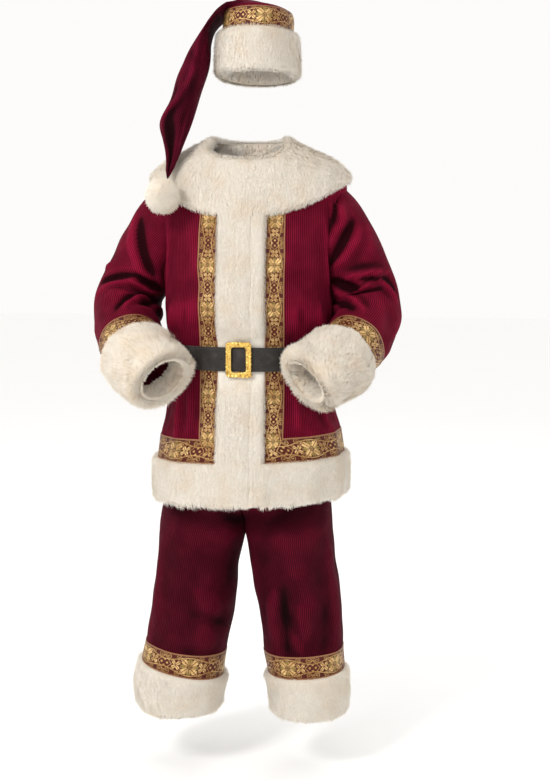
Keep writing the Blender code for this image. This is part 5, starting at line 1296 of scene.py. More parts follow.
# strokes of painted shade and light join the fold channel
uv[..., 2] += lightAndShadeStrokes(degreeGrid, rowGrid, hat["pile"], hat["degreeWidth"], 360.0, hat["rowLength"])
hatCone = makeWall("hat_cone_cloth", points, normals, -thickness[:, None], 0.0, uv, hatVelvet,
                   closed=True, tip=(hat["tip"], points[-1, :-1].mean(axis=0)))
place(hatCone, "burgundy_velvet", "hat_cone")
print("Hat made")



# Ribbons lie on the cloth, with a cord raised along each edge
ribbon = {
    "cordHeight": 0.0009, "cordPlace": 0.93, "cordWidth": 0.07,
    "patternHalfWidth": 0.0225, "patternFrom": 0.8,
    "columns": 14, "frontRows": 110, "hemColumns": 210, "ringParts": 72, "legParts": 84,
    "hemWidth": 0.058, "legWidth": 0.058, "hatWidth": 0.048,
}


def ribbonProfile(across):
    # extra height at each place across, from -1 at one edge to 1 at the other
    return ribbon["cordHeight"] * hump((np.abs(across) - ribbon["cordPlace"]) / ribbon["cordWidth"])


def makeRibbon(name, points, normals, across, along, closed, node):
    # across runs from -1 to 1, and along is in metres for a ribbon of the pattern's width
    uv = np.stack(np.broadcast_arrays(across * ribbon["patternHalfWidth"], along), axis=-1)
    outer = seamGap + ribbonThickness + ribbonProfile(across)
    strip = makeWall(name, points, normals, seamGap, outer, uv, brocade, closed=closed)
    return place(strip, "gold_brocade", node)


def ringRibbon(name, surface, rowStart, rowEnd, columns, steps, width, node):
    across = np.linspace(0.0, 1.0, ribbon["columns"] + 1)
    _, _, points, normals = gridOn(surface, rowStart + (rowEnd - rowStart) * across, columns, steps)
    lengths = lengthsAlong(points, 1)
    flatLength = lengths[:, -1].mean() * 2 * ribbon["patternHalfWidth"] / width
    repeats = max(1, round(flatLength / brocadeLook["repeat"]))
    along = lengths / lengths[:, -1:] * repeats * brocadeLook["repeat"]
    return makeRibbon(name, points, normals, across[:, None] * 2 - 1, along, True, node)


def legTurns(name, parts):
    # once round a leg, and the steps beside each place; both run the other way on the left leg
    turns = np.linspace(0.0, 2.0, parts + 1)
    levelStep, turnStep = trousers["steps"]
    if name == "left":
        return turns[::-1], (levelStep, -turnStep)
    return turns, (levelStep, turnStep)


ribbons = {}
innerColumn, outerColumn, hemRow, hemRibbonRow, collarRow = 2, 4, 2, 4, 16
across = np.linspace(0.0, 1.0, ribbon["columns"] + 1)
down = np.linspace(0.0, 1.0, ribbon["frontRows"])[:, None]
for side, name in ((1, "left"), (-1, "right")):
    # upright ribbon: mitred at the bottom, where the hem's ribbon meets it
    outwards = across[::side]
    start = hemRow + (hemRibbonRow - hemRow) * outwards
    rowGrid = start + (collarRow - start) * down
    columnLine = innerColumn + (outerColumn - innerColumn) * outwards
    columnLine = columnLine if side > 0 else lastColumn - columnLine
    points = jacketSurface(rowGrid, columnLine)
    ribbons["front_" + name] = makeRibbon(
        "front_ribbon_" + name, points, jacketFacing(rowGrid, columnLine),
        (outwards * 2 - 1) * side, points[..., 2] - ribbon["patternFrom"], False, "ribbon_front_" + name)

upwards = across[:, None]
start = innerColumn + (outerColumn - innerColumn) * upwards
columnGrid = start + (lastColumn - 2 * start) * np.linspace(0.0, 1.0, ribbon["hemColumns"])
rowLine = hemRow + (hemRibbonRow - hemRow) * upwards
points = jacketSurface(rowLine, columnGrid)
lengths = lengthsAlong(points, 1)
lengths = lengths - lengths[:, -1:] / 2
hemScale = 2 * ribbon["patternHalfWidth"] / ribbon["hemWidth"]
ribbons["hem"] = makeRibbon("hem_ribbon", points, jacketFacing(rowLine, columnGrid), upwards * 2 - 1,
                            lengths * hemScale, False, "ribbon_hem")

for name in ("left", "right"):
    furStart = sleeveLengths[name] - sleeve["furWidth"]
    ribbons["sleeve_" + name] = ringRibbon(
        "sleeve_ribbon_" + name, sleeveSurfaces[name], furStart - sleeve["ribbonWidth"], furStart,
        fullTurn(ribbon["ringParts"]), sleeve["steps"], sleeve["ribbonWidth"], "ribbon_sleeve_" + name)
    turns, steps = legTurns(name, ribbon["legParts"])
    ribbons["leg_" + name] = ringRibbon(
        "leg_ribbon_" + name, legSurfaces[name], trousers["furTop"], trousers["ribbonTop"], turns, steps,
        ribbon["legWidth"], "ribbon_leg_" + name)
ribbons["hat"] = ringRibbon("hat_ribbon_brocade", hatSurface, hat["furRow"], hat["ribbonRow"],
                            fullTurn(ribbon["ringParts"]), hat["steps"], ribbon["hatWidth"], "hat_ribbon")
print("Ribbons made")


# Belt: a strip that runs once round from the buckle and then over itself to its rounded tail
belt = {
    "lowRow": 7, "highRow": 8, "low": 1.017, "high": 1.074,
    "thickness": 0.0038, "lifts": (0.0063, 0.0063, 0.0063, 0.0043, 0.0023), "lift": 0.0007,
    "tailReach": 0.0925, "tailRounding": 0.022, "tailDip": 0.0008,
    "edgeRounding": 0.0011, "bulge": 0.0022, "bulgeWidth": 0.013,
    "step": 0.16, "rows": 10, "tailBend": 0.93, "tailFade": 0.6, "bulgeColumns": 4, "lapColumn": 15,
}


def beltLift(turn):
    # turn counts columns from the buckle; past the last one the belt lies on itself
    whole = np.arange(0, lastColumn + 5)
    fromFront = np.minimum(whole % lastColumn, lastColumn - whole % lastColumn)
    known = np.array([belt["lifts"][place] if place < len(belt["lifts"]) else belt["lift"]
                      for place in fromFront])
    onItself = belt["thickness"] + seamGap
    known[lastColumn:] += onItself
    known[lastColumn - 1] += onItself / 2
    return np.interp(turn, whole, known)


def makeBelt():
    strips = jacket["frontStrips"]
    part = np.linspace(0.0, 1.0, belt["rows"] + 1)
    rounding = belt["tailRounding"] * np.abs(2 * part - 1) ** 3
    tail = lastColumn + np.interp(belt["tailReach"] - rounding, strips, range(len(strips)))
    turns = np.linspace(0.0, 1.0, int(tail.max() / belt["step"]))
    bend = smoothStep(belt["tailBend"], 1.0, turns)[None, :]
    turnGrid = tail.max() * turns[None, :] - (tail.max() - tail)[:, None] * bend
    partGrid = np.broadcast_to(part[:, None], turnGrid.shape)
    rowGrid = belt["lowRow"] + (belt["highRow"] - belt["lowRow"]) * partGrid
    columnGrid = np.mod(turnGrid, lastColumn)
    points = jacketSurface(rowGrid, columnGrid)
    normals = jacketFacing(rowGrid, columnGrid)
    normals[..., 2] = 0.0
    normals = unit(normals)
    lift = beltLift(turnGrid)
    lift -= belt["tailDip"] * smoothStep(tail.max() - belt["tailFade"], tail.max(), turnGrid)
    inBuckle = hump((points[..., 0] - buckle["x"]) / belt["bulgeWidth"])
    inBuckle = inBuckle * (turnGrid > lastColumn - belt["bulgeColumns"])
    middle = 1.0 - np.abs(2 * partGrid - 1) ** 4
    lift += belt["bulge"] * inBuckle * middle
    edge = np.abs(2 * partGrid - 1) ** 6 * belt["edgeRounding"]
    lengths = lengthsAlong(points, 1)
    endOfLap = lengths[:, np.argmin(np.abs(turnGrid[0] - lastColumn))][:, None]
    across = (partGrid - 0.5) * (belt["high"] - belt["low"])
    uv = np.stack([np.where(turnGrid > belt["lapColumn"], lengths - endOfLap, lengths), across], axis=-1)
    leather = leatherMaterial((belt["high"] - belt["low"]) / 2)
    outer = lift + belt["thickness"] - edge
    strap = makeWall("belt_strap_leather", points, normals, lift + edge * 0.5, outer, uv, leather)
    return place(strap, "charcoal_leather", "belt_strap")


# Buckle: a cast frame covered in small chiselled nuggets, with a bar behind the belt
buckle = {
    "x": -0.0036, "width": 0.064, "height": 0.086, "openWidth": 0.035, "openHeight": 0.06,
    "thickness": 0.006, "corner": 0.01, "innerCorner": 0.006, "edge": 0.0012,
    "barWidth": 0.0042, "barThickness": 0.0028, "barReach": 0.037,
    "outerNuggets": 30, "innerNuggets": 24, "nugget": 0.0042, "bead": 0.0026, "sizes": (0.86, 1.14),
    "nuggetInset": 0.0085, "beadInset": 0.0062, "nuggetSunk": 0.0022, "scatter": 0.0003,
    "nuggetShape": (1.0, 0.9, 1.1), "tumble": (1.0, 1.7, 2.3), "mostTurn": 3.0,
    "frameInset": 0.003, "thicknessInset": 0.0012, "cornerSegments": 6, "edgeSegments": 3, "barGap": 0.0002,
}


def deselectAll():
    bpy.ops.object.select_all(action="DESELECT")


def roundedBlock(name, location, size, corner):
    # an upright block whose four long edges, which run front to back, are rounded
    deselectAll()
    bpy.ops.mesh.primitive_cube_add(size=1.0, location=location)
    block = bpy.context.object
    block.name = name
    block.scale = size
    bpy.ops.object.transform_apply(location=True, rotation=False, scale=True)
    bpy.ops.object.mode_set(mode="EDIT")
    bpy.ops.mesh.select_mode(type="EDGE")
    bpy.ops.mesh.select_all(action="DESELECT")
    bpy.ops.object.mode_set(mode="OBJECT")
    for edge in block.data.edges:
        first, second = (block.data.vertices[k].co for k in edge.vertices)
        edge.select = abs(first.y - second.y) > 0.5 * size[1]
    bpy.ops.object.mode_set(mode="EDIT")
    bpy.ops.mesh.bevel(offset=corner, segments=buckle["cornerSegments"])
    bpy.ops.object.mode_set(mode="OBJECT")
    return block


def addNugget(location, size, turn, material):
    deselectAll()
    bpy.ops.mesh.primitive_ico_sphere_add(subdivisions=2, radius=1.0, location=location,
                                          rotation=[turn * part for part in buckle["tumble"]])
    nugget = bpy.context.object
    nugget.scale = [size * part for part in buckle["nuggetShape"]]
    bpy.ops.object.transform_apply(location=True, rotation=True, scale=True)
    nugget.data.shade_flat()
    nugget.data.materials.append(material)
    return nugget


def alongFrame(width, height, part):
    # a point of a rounded rectangle's outline, at a part of the way round it
    straight = 2 * (width + height)
    reach = part * straight
    corners = [(side * width / 2, end * height / 2) for side, end in ((-1, -1), (1, -1), (1, 1), (-1, 1))]
    for (x0, z0), (x1, z1) in zip(corners, corners[1:] + corners[:1]):
        length = abs(x1 - x0) + abs(z1 - z0)
        if reach <= length:
            return x0 + (x1 - x0) * reach / length, z0 + (z1 - z0) * reach / length
        reach -= length
    return corners[0]


def makeBuckle():
    draw = np.random.default_rng(11)
    jacketFront = jacketSurface(belt["highRow"], 0.0)[1]
    underBelt = jacketFront - belt["lifts"][0]
    back = underBelt - 2 * belt["thickness"] - 2 * seamGap
    middle = (belt["low"] + belt["high"]) / 2 - groundDrop
    centreY = back - buckle["thickness"] / 2
    rimWidth, rimHeight = buckle["width"] - buckle["frameInset"], buckle["height"] - buckle["frameInset"]
    rimThickness = buckle["thickness"] - buckle["thicknessInset"]
    rim = roundedBlock("buckle_frame", (buckle["x"], centreY, middle), (rimWidth, rimThickness, rimHeight),
                       buckle["corner"])
    hole = roundedBlock("buckle_hole", (buckle["x"], centreY, middle),
                        (buckle["openWidth"], buckle["thickness"] * 3, buckle["openHeight"]),
                        buckle["innerCorner"])
    applyBoolean(rim, hole)
    bpy.data.objects.remove(hole)
    rounding = rim.modifiers.new("rounding", "BEVEL")
    rounding.width = buckle["edge"]
    rounding.segments = buckle["edgeSegments"]
    rounding.limit_method = "ANGLE"
    deselectAll()
    rim.select_set(True)
    bpy.context.view_layer.objects.active = rim
    bpy.ops.object.modifier_apply(modifier=rounding.name)
    rim.data.materials.append(buckleGold)
    front = back - buckle["thickness"] + buckle["nuggetSunk"]
    pieces = []
    scatter = buckle["scatter"]
    rows = ((buckle["width"], buckle["height"], -buckle["nuggetInset"], buckle["outerNuggets"],
             buckle["nugget"]),
            (buckle["openWidth"], buckle["openHeight"], buckle["beadInset"], buckle["innerNuggets"],
             buckle["bead"]))
    for width, height, outset, count, size in rows:
        for number in range(count):
            x, z = alongFrame(width + outset, height + outset, (number + 0.5) / count)
            grown = size * draw.uniform(*buckle["sizes"])
            spot = (buckle["x"] + x, front + draw.uniform(-scatter, scatter), middle + z)
            pieces.append(addNugget(spot, grown, draw.uniform(0.0, buckle["mostTurn"]), buckleGold))
    deselectAll()
    barY = underBelt - buckle["barGap"] - buckle["barThickness"] / 2
    bpy.ops.mesh.primitive_cube_add(size=1.0, location=(buckle["x"], barY, middle))
    bar = bpy.context.object
    bar.scale = (buckle["barWidth"], buckle["barThickness"], buckle["barReach"] * 2)
    bpy.ops.object.transform_apply(location=True, rotation=False, scale=True)
    bar.data.materials.append(buckleGold)
    deselectAll()
    for piece in pieces + [bar, rim]:
        piece.select_set(True)
    bpy.context.view_layer.objects.active = rim
    bpy.ops.object.join()
    rim.name = rim.data.name = "belt_buckle_gold"
    return place(rim, "gold_metal", "belt_buckle")


beltStrap = makeBelt()
makeBuckle()
print("Belt made")


# Fur: an undercoat wall gives each trim its body, and flat tapering strands grow from it in tufts
def edgeRounding(fromEdge, radius):
    reach = np.clip(fromEdge / radius, 0.0, 1.0)
    return 0.06 + 0.94 * np.sqrt(1.0 - (1.0 - reach) ** 2)


def slopes(grid, closed):
    wide = padded(grid, closed)
    return (wide[:, 2:] - wide[:, :-2]) / 2, np.gradient(grid, axis=0)


thinnestCoat = 0.0008
hemTurnIn = 0.0006  # how far a coat closes over behind the cloth's edge


def makeUndercoat(name, points, normals, trim, thickness, closed, material, dents=0.0):
    # points may run past the cloth's edge; there the wall closes over it
    share, radius = trim["undercoat"], trim["rounding"]
    along = lengthsAlong(points, 0)
    fromStart, fromEnd = along, along[-1:] - along
    height = thickness * share * np.ones(points.shape[:2])
    height = height * (1.0 - trim["roundStart"] * (1.0 - edgeRounding(fromStart, radius)))
    height = height * (1.0 - trim["roundEnd"] * (1.0 - edgeRounding(fromEnd, radius)))
    if not closed:
        across = lengthsAlong(points, 1)
        height = height * edgeRounding(across, radius) * edgeRounding(across[:, -1:] - across, radius)
    height = height * (1.0 + softWaves(points, 31, trim["unevenness"], 0.07, 0.025)) - dents
    height = np.maximum(height, thinnestCoat)
    inner = np.where(trim["beyond"][:, None], -clothThickness - hemTurnIn, seamGap) * np.ones(height.shape)
    uv = metricUv(points)
    uv = np.stack([uv[..., 0], np.full(uv.shape[:2], trim["rootTone"])], axis=-1)
    coat = makeWall(name, points, normals, inner, height, uv, material, closed=closed)
    return coat, points + normals * height[..., None], points + normals * inner[..., None]


# What the strands of every trim share
strand = {
    "quickShare": 4, "swirlLongest": 0.11, "swirlShortest": 0.035, "rootSunk": 0.0012, "jitter": 0.1,
    "lengths": (0.82, 1.14), "tuftLengths": (0.84, 0.32), "fringeLengths": (0.15, 0.75),
    "widths": (0.75, 1.2), "middleWidth": 0.8, "lowerLie": 0.6, "toneShares": (0.6, 0.4),
    "tuftSpread": ((127.1, 269.5, 419.2), (311.7, 183.3, 371.9)), "tuftScramble": 43758.5453,
}


def growStrands(base, thickness, closed, trim, seed, count):
    # points, face corners, flat coordinates and shading directions of the strands on a grid
    draw = np.random.default_rng(seed)
    overColumns, overRows = slopes(base, closed)
    outwards = unit(np.cross(overColumns, overRows))
    flatGrid = metricUv(base)
    corner, right, above = base[:-1, :-1], base[:-1, 1:], base[1:, :-1]
    area = np.linalg.norm(np.cross(right - corner, above - corner), axis=2)
    total = np.cumsum(area.ravel())
    picks = np.searchsorted(total / total[-1], (np.arange(count) + draw.random(count)) / count)
    i, j = np.divmod(np.minimum(picks, area.size - 1), area.shape[1])
    u, v = draw.random((count, 1)), draw.random((count, 1))

    def blend(grid):
        low = grid[i, j] * (1 - u) + grid[i, j + 1] * u
        return low * (1 - v) + (grid[i + 1, j] * (1 - u) + grid[i + 1, j + 1] * u) * v

    root, n = blend(base), unit(blend(outwards))
    across, along = unit(blend(overColumns)), unit(blend(overRows))
    flat = blend(flatGrid)
    tall = blend(np.broadcast_to(thickness, base.shape[:2])[..., None])[:, 0]
    napAcross, napAlong = trim["nap"]
    nap = unit(across * napAcross + along * napAlong)
    swirl = softWaves(root, seed + 1, trim["swirl"], strand["swirlLongest"], strand["swirlShortest"])
    swirl = swirl + draw.normal(0.0, trim["stray"], count)
    nap = nap * np.cos(swirl)[:, None] + np.cross(n, nap) * np.sin(swirl)[:, None]

    # the middle of the tuft that each strand leans to
    size = trim["tuft"]
    cell = np.floor(flat / size)
    best, nearest, tuftTone = np.full(count, 1e9), np.zeros((count, 2)), np.zeros(count)
    for stepAcross in (-1, 0, 1):
        for stepAlong in (-1, 0, 1):
            near = cell + (stepAcross, stepAlong)
            mixed = np.sin(near @ np.array(strand["tuftSpread"])) * strand["tuftScramble"]
            mixed = mixed - np.floor(mixed)
            centre = (near + 0.15 + 0.7 * mixed[:, :2]) * size
            away = centre - flat
            distance = np.linalg.norm(away, axis=1)
            closer = distance < best
            best = np.where(closer, distance, best)
            nearest = np.where(closer[:, None], away, nearest)
            tuftTone = np.where(closer, mixed[:, 2], tuftTone)
    lean = (across * nearest[:, :1] + along * nearest[:, 1:]) / size
    length = trim["length"] * tall / trim["fullHeight"]
    shortest, more = strand["tuftLengths"]
    length = length * (shortest + more * tuftTone) * draw.uniform(*strand["lengths"], count)
    edge = trim["fringe"](flat[:, 1]) if trim["fringe"] else 0.0
    shortest, more = strand["fringeLengths"]
    length = length * (1.0 + edge * (shortest + more * tuftTone ** 2))
    jitter = draw.normal(0.0, 1.0, (count, 3))
    lie = trim["lie"]
    lower = unit(n * trim["rise"] + nap * lie * strand["lowerLie"] + lean * trim["gather"]
                 + jitter * strand["jitter"])
    upper = unit(n * trim["droop"] + nap * lie + lean * trim["gather"] + jitter * trim["ruffle"])
    start = root - n * strand["rootSunk"]
    middle = start + lower * length[:, None] * 0.5
    tip = middle + upper * length[:, None] * 0.5
    half = (trim["width"] * draw.uniform(*strand["widths"], count) / 2)[:, None]
    lowSide = unit(np.cross(lower, n)) * half
    highSide = unit(np.cross(upper, n)) * half * strand["middleWidth"]
    vertices = np.stack([start - lowSide, start + lowSide, middle + highSide, middle - highSide, tip], axis=1)
    shade = unit(n + nap * trim["shadeTilt"] - lean * trim["tuftShade"] + jitter * strand["jitter"])
    order = np.array([0, 1, 2, 3, 3, 2, 4])
    heights = np.array([0.0, 0.0, 0.5, 0.5, 0.5, 0.5, 1.0])
    own, shared = strand["toneShares"]
    tone = np.clip(own * draw.random(count) + shared * tuftTone, 0.0, 1.0)
    corners = (np.arange(count)[:, None] * 5 + order).ravel()
    uv = np.stack(np.broadcast_arrays(tone[:, None], heights), axis=-1).reshape(-1, 2)
    return vertices.reshape(-1, 3), corners, uv, np.repeat(shade, 5, axis=0)


def makePile(name, grown, material):
    vertices, corners, uvs, shades, start = [], [], [], [], 0
    for points, order, uv, shade in grown:
        vertices.append(points)
        corners.append(order + start)
        uvs.append(uv)
        shades.append(shade)
        start += len(points)
    strands = sum(len(points) for points in vertices) // 5
    sizesOfFaces = np.tile([4, 3], strands)
    pile = newMesh(name, np.concatenate(vertices), np.concatenate(corners), sizesOfFaces, np.concatenate(uvs),
                   material, normals=np.concatenate(shades))
    return place(pile, "white_fur")


pastRows = np.array([1.0, 0.93, 0.8, 0.6, 0.4, 0.2])  # the share of the way past an edge


def furGrid(surface, rows, columns, steps, pastStart=0.0, pastEnd=0.0):
    # a grid on the cloth, with a few rows past its first or last edge
    _, _, points, normals = gridOn(surface, rows, columns, steps)
    beyond = np.zeros(len(rows), bool)
    if pastStart:
        extra = points[0] + unit(points[0] - points[2]) * (pastRows * pastStart)[:, None, None]
        points = np.concatenate([extra, points])
        normals = np.concatenate([np.repeat(normals[:1], len(pastRows), axis=0), normals])
        beyond = np.concatenate([np.ones(len(pastRows), bool), beyond])
    if pastEnd:
        extra = points[-1] + unit(points[-1] - points[-3]) * (pastRows[::-1] * pastEnd)[:, None, None]
        points = np.concatenate([points, extra])
        normals = np.concatenate([normals, np.repeat(normals[-1:], len(pastRows), axis=0)])
        beyond = np.concatenate([beyond, np.ones(len(pastRows), bool)])
    return points, normals, beyond


def growLining(surface, rows, columns, steps, trim, seed, pastStart=0.0, pastEnd=0.0):
    # strands on the inner face near an open edge, lying into the opening
    rowStep, columnStep = steps
    points, normals, _ = furGrid(surface, rows, columns[::-1], (rowStep, -columnStep), pastStart, pastEnd)
    base = points + normals * (clothThickness + 0.0012)
    away = 1.0 if pastStart else -1.0
    liningTrim = dict(trim, length=0.012, fullHeight=1.0, rise=0.5, droop=0.22, lie=0.9, nap=(0.0, away),
                      shadeTilt=-1.0, swirl=0.5, width=0.0036, fringe=None)
    return growStrands(base, 1.0, True, liningTrim, seed, trim["lining"])


facingBand = {"inner": 0.0006, "outer": 0.0012, "tone": 0.85, "turnParts": 60}


def makeFacing(name, surface, rows, columns, steps, material):
    # a thin pale band sewn inside an open edge, under the lining's strands
    rowStep, columnStep = steps
    _, _, points, inwards = gridOn(surface, rows, columns[::-1], (rowStep, -columnStep))
    across = metricUv(points)[..., 0]
    uv = np.stack([across, np.full(across.shape, facingBand["tone"])], axis=-1)
    inner, outer = clothThickness + facingBand["inner"], clothThickness + facingBand["outer"]
    band = makeWall(name, points, inwards, inner, outer, uv, material, closed=True)
    return place(band, "white_fur")


def growCap(outer, inner, atStart, trim, seed, count, ruffled=False):
    # strands across the open edge itself, leaning out and back, or lying every way
    first, last = (inner[0], outer[0]) if atStart else (outer[-1], inner[-1])
    shares = np.linspace(0.0, 1.0, 4)[:, None, None]
    cap = first * (1.0 - shares) + last * shares
    away = 1.0 if atStart else -1.0
    capTrim = dict(trim, nap=(0.0, away), length=trim["capLength"], fullHeight=1.0, rise=1.0, droop=0.55,
                   lie=0.8, gather=0.2, shadeTilt=0.3, fringe=None)
    if ruffled:
        capTrim.update(stray=2.5, rise=0.5, droop=0.1, lie=1.0, shadeTilt=0.0, width=0.0019)
    return growStrands(cap, 1.0, True, capTrim, seed, count)


# What a maker would change: how full, long, smooth or tufted each trim is
shortFur = {
    "undercoat": 0.72, "rounding": 0.01, "unevenness": 0.04, "nap": (0.0, -1.0), "swirl": 0.25, "stray": 0.25,
    "tuft": 0.012, "length": 0.0118, "rise": 0.62, "droop": 0.22, "gather": 0.22, "ruffle": 0.14, "lie": 1.0,
    "width": 0.00135, "tuftShade": 0.08, "shadeTilt": 0.18, "rootTone": 0.55, "capLength": 0.009,
    "roundStart": 1.0, "roundEnd": 1.0, "fringe": None,
}
trims = {
    "hem": dict(shortFur, fullHeight=0.016, strands=33500, lining=1800, cap=1400, atStart=True, past=0.007,
                fringe=lambda along: 1.0 - smoothStep(0.004, 0.022, along)),
    "placket": dict(shortFur, fullHeight=0.024, strands=17000, roundStart=0.0, roundEnd=0.0),
    "collar": dict(shortFur, fullHeight=0.024, strands=32500, lining=2800, cap=1200, atStart=False,
                   past=0.006, length=0.0145, tuft=0.015, tuftShade=0.14, rounding=0.014, unevenness=0.06,
                   rim=1500, rimRows=10, rimLength=0.01),
    "cuff": dict(shortFur, fullHeight=0.03, strands=21500, lining=6000, cap=1600, atStart=False, past=0.003,
                 length=0.017, tuft=0.016, rise=0.72, droop=0.42, gather=0.28, ruffle=0.18, tuftShade=0.12,
                 rounding=0.02, unevenness=0.06, swirl=0.5, nap=(0.35, -1.0), undercoat=0.68, rim=1200,
                 rimRows=9, rimLength=0.009, capLength=0.011, rootTone=0.7, ruffledCap=2000,
                 firstHeight=0.02, liningDepth=0.055, facingDepth=0.06),
    "leg": dict(shortFur, fullHeight=0.015, strands=14500, lining=1000, cap=800, atStart=True, past=0.007,
                tuft=0.014, unevenness=0.1, liningDepth=0.014,
                fringe=lambda along: 0.5 - 0.5 * smoothStep(0.004, 0.018, along)),
    "hatBand": dict(shortFur, fullHeight=0.018, strands=14000, lining=3000, cap=1500, atStart=True,
                    past=0.006, length=0.013, rounding=0.014, tuft=0.014, swirl=0.35, capLength=0.01),
    "pompom": dict(shortFur, fullHeight=0.016, strands=9000, length=0.018, rise=0.72, droop=0.42, gather=0.3,
                   ruffle=0.2),
}
furPieces = {}


def dressTrim(key, name, node, cloth, thickness, closed, material, seed, dents=0.0, extra=(), sewn=(),
              **changes):
    # an undercoat and its strands; extra strands and sewn pieces join them
    points, normals, beyond = cloth
    trim = dict(trims[key], beyond=beyond, **changes)
    coat, base, inner = makeUndercoat(name + "_undercoat", points, normals, trim, thickness, closed, material,
                                      dents)
    pileHeight = trim.get("pileHeight", thickness)
    grown = [growStrands(base, pileHeight, closed, trim, seed, trim["strands"]), *extra]
    if "cap" in trim:
        grown.append(growCap(base, inner, beyond[0], trim, seed + 60, trim["cap"]))
    if "ruffledCap" in trim:
        grown.append(growCap(base, inner, beyond[0], trim, seed + 70, trim["ruffledCap"], ruffled=True))
    if "rim" in trim:
        # more strands stand out round the open edge, so that it isn't bare
        rimTrim = dict(trim, nap=(0.0, 1.0), length=trim["rimLength"], fullHeight=1.0, rise=0.9, droop=0.7,
                       lie=0.6, gather=0.3)
        grown.append(growStrands(base[-trim["rimRows"]:], 1.0, closed, rimTrim, seed + 40, trim["rim"]))
    pile = makePile(name + "_strands", grown, material)
    place(coat, "white_fur", node)
    furPieces[node] = (coat, [pile, *sewn])
    print(" ", name, "strands:", len(pile.data.polygons) // 2)


def dressOpening(key, name, node, surface, rows, columns, steps, liningRows, material, seeds, thickness=None,
                 dents=0.0, sewn=(), **changes):
    # a trim round an open edge, with strands inside the opening too
    trim = trims[key]
    past = (trim["past"], 0.0) if trim["atStart"] else (0.0, trim["past"])
    seed, liningSeed = seeds
    lining = growLining(surface, liningRows, columns, steps, trim, liningSeed, *past)
    thickness = trim["fullHeight"] if thickness is None else thickness
    dressTrim(key, name, node, furGrid(surface, rows, columns, steps, *past), thickness, True, material, seed,
              dents, [lining], sewn, **changes)


def eased(first, last, count):
    # closer together towards both ends, where a strip of fur rounds over
    return first + (last - first) * (1.0 - np.cos(np.linspace(0.0, math.pi, count))) / 2


frontOpening = {"column": 0.82, "depth": 0.0045, "hemDepth": 0.004, "width": 0.0035}


def openingLine(columns, depth):
    # the front opening's edge shows as a dent that runs down the fur
    aside = (columns - frontOpening["column"]) * jacket["columnWidth"]
    return depth * hump(aside / frontOpening["width"])


# Near the front the hem is thicker, and neither it nor the collar rounds over towards the placket
hemColumns = np.linspace(0.0, lastColumn, 190)
nearFront = smoothStep(2.7, 1.9, np.minimum(hemColumns, lastColumn - hemColumns))[None, :]
hemThickness = trims["hem"]["fullHeight"] + 0.008 * nearFront
dressOpening("hem", "hem_fur", "fur_hem", jacketSurface, eased(0.0, 2.0, 18), hemColumns, jacket["steps"],
             spread(0.0, 0.3, 0.1), trimFur, (101, 130), hemThickness,
             openingLine(hemColumns, frontOpening["hemDepth"])[None, :],
             pileHeight=trims["hem"]["fullHeight"], roundEnd=1.0 - nearFront)

# The placket is thin under the belt
placketColumns = eased(-2.0, 2.0, 29)
placketRows = throughKnots(range(2, 17), [2, 2, 4, 4, 3, 6, 3, 3, 4, 4, 4, 4, 4, 4])
placketFull, placketHalf, placketThin = trims["placket"]["fullHeight"], 0.0125, 0.006
placketHeights = np.interp(placketRows, (2, 5.2, 6, 7, 8, 9, 9.8, 16),
                           (placketFull, placketFull, placketHalf, placketThin, placketThin, placketHalf,
                            placketFull, placketFull))[:, None]
dents = openingLine(placketColumns, frontOpening["depth"])[None, :] * (placketHeights / placketFull)
placketCloth = furGrid(jacketSurface, placketRows, placketColumns, jacket["steps"])
dressTrim("placket", "placket_fur", "fur_placket", placketCloth, placketHeights, False, trimFur, 102, dents)

neckFacing = makeFacing("neck_facing", jacketSurface, spread(18.4, lastRow, 0.2), spread(0, lastColumn, 0.35),
                        jacket["steps"], trimFur)
dressOpening("collar", "collar_fur", "fur_collar", jacketSurface, eased(collarRow, lastRow, 24), hemColumns,
             jacket["steps"], spread(18.6, lastRow, 0.1), trimFur, (103, 131), sewn=[neckFacing],
             roundStart=1.0 - nearFront)

facingTurn = fullTurn(facingBand["turnParts"])
for number, name in enumerate(("left", "right")):
    surface, length, trim = sleeveSurfaces[name], sleeveLengths[name], trims["cuff"]
    stations = eased(length - sleeve["furWidth"], length, 24)
    thickness = np.interp(np.arange(len(stations) + len(pastRows)), (0, len(stations) - 1),
                          (trim["firstHeight"], trim["fullHeight"]))[:, None]
    cuffFacing = makeFacing("cuff_facing_" + name, surface,
                            spread(length - trim["facingDepth"], length, sleeve["cutterStep"]), facingTurn,
                            sleeve["steps"], fluffyFur)
    dressOpening("cuff", "cuff_fur_" + name, "fur_cuff_" + name, surface, stations, fullTurn(72),
                 sleeve["steps"], spread(length - trim["liningDepth"], length, 0.006), fluffyFur,
                 (104 + number, 120 + number), thickness, sewn=[cuffFacing])

    turns, steps = legTurns(name, 96)
    hem = trousers["hem"]
    dressOpening("leg", "leg_fur_" + name, "fur_leg_" + name, legSurfaces[name],
                 eased(hem, trousers["furTop"], 18), turns, steps,
                 spread(hem, hem + trims["leg"]["liningDepth"], 0.005), trimFur, (106 + number, 132 + number))

hatFacing = makeFacing("hat_facing", hatSurface, spread(0.0, 0.8, 0.25), facingTurn, hat["steps"], trimFur)
dressOpening("hatBand", "hat_band_fur", "hat_fur_band", hatSurface, eased(0.0, hat["furRow"], 18),
             fullTurn(90), hat["steps"], spread(0.0, 0.55, 0.1), trimFur, (108, 134), sewn=[hatFacing])

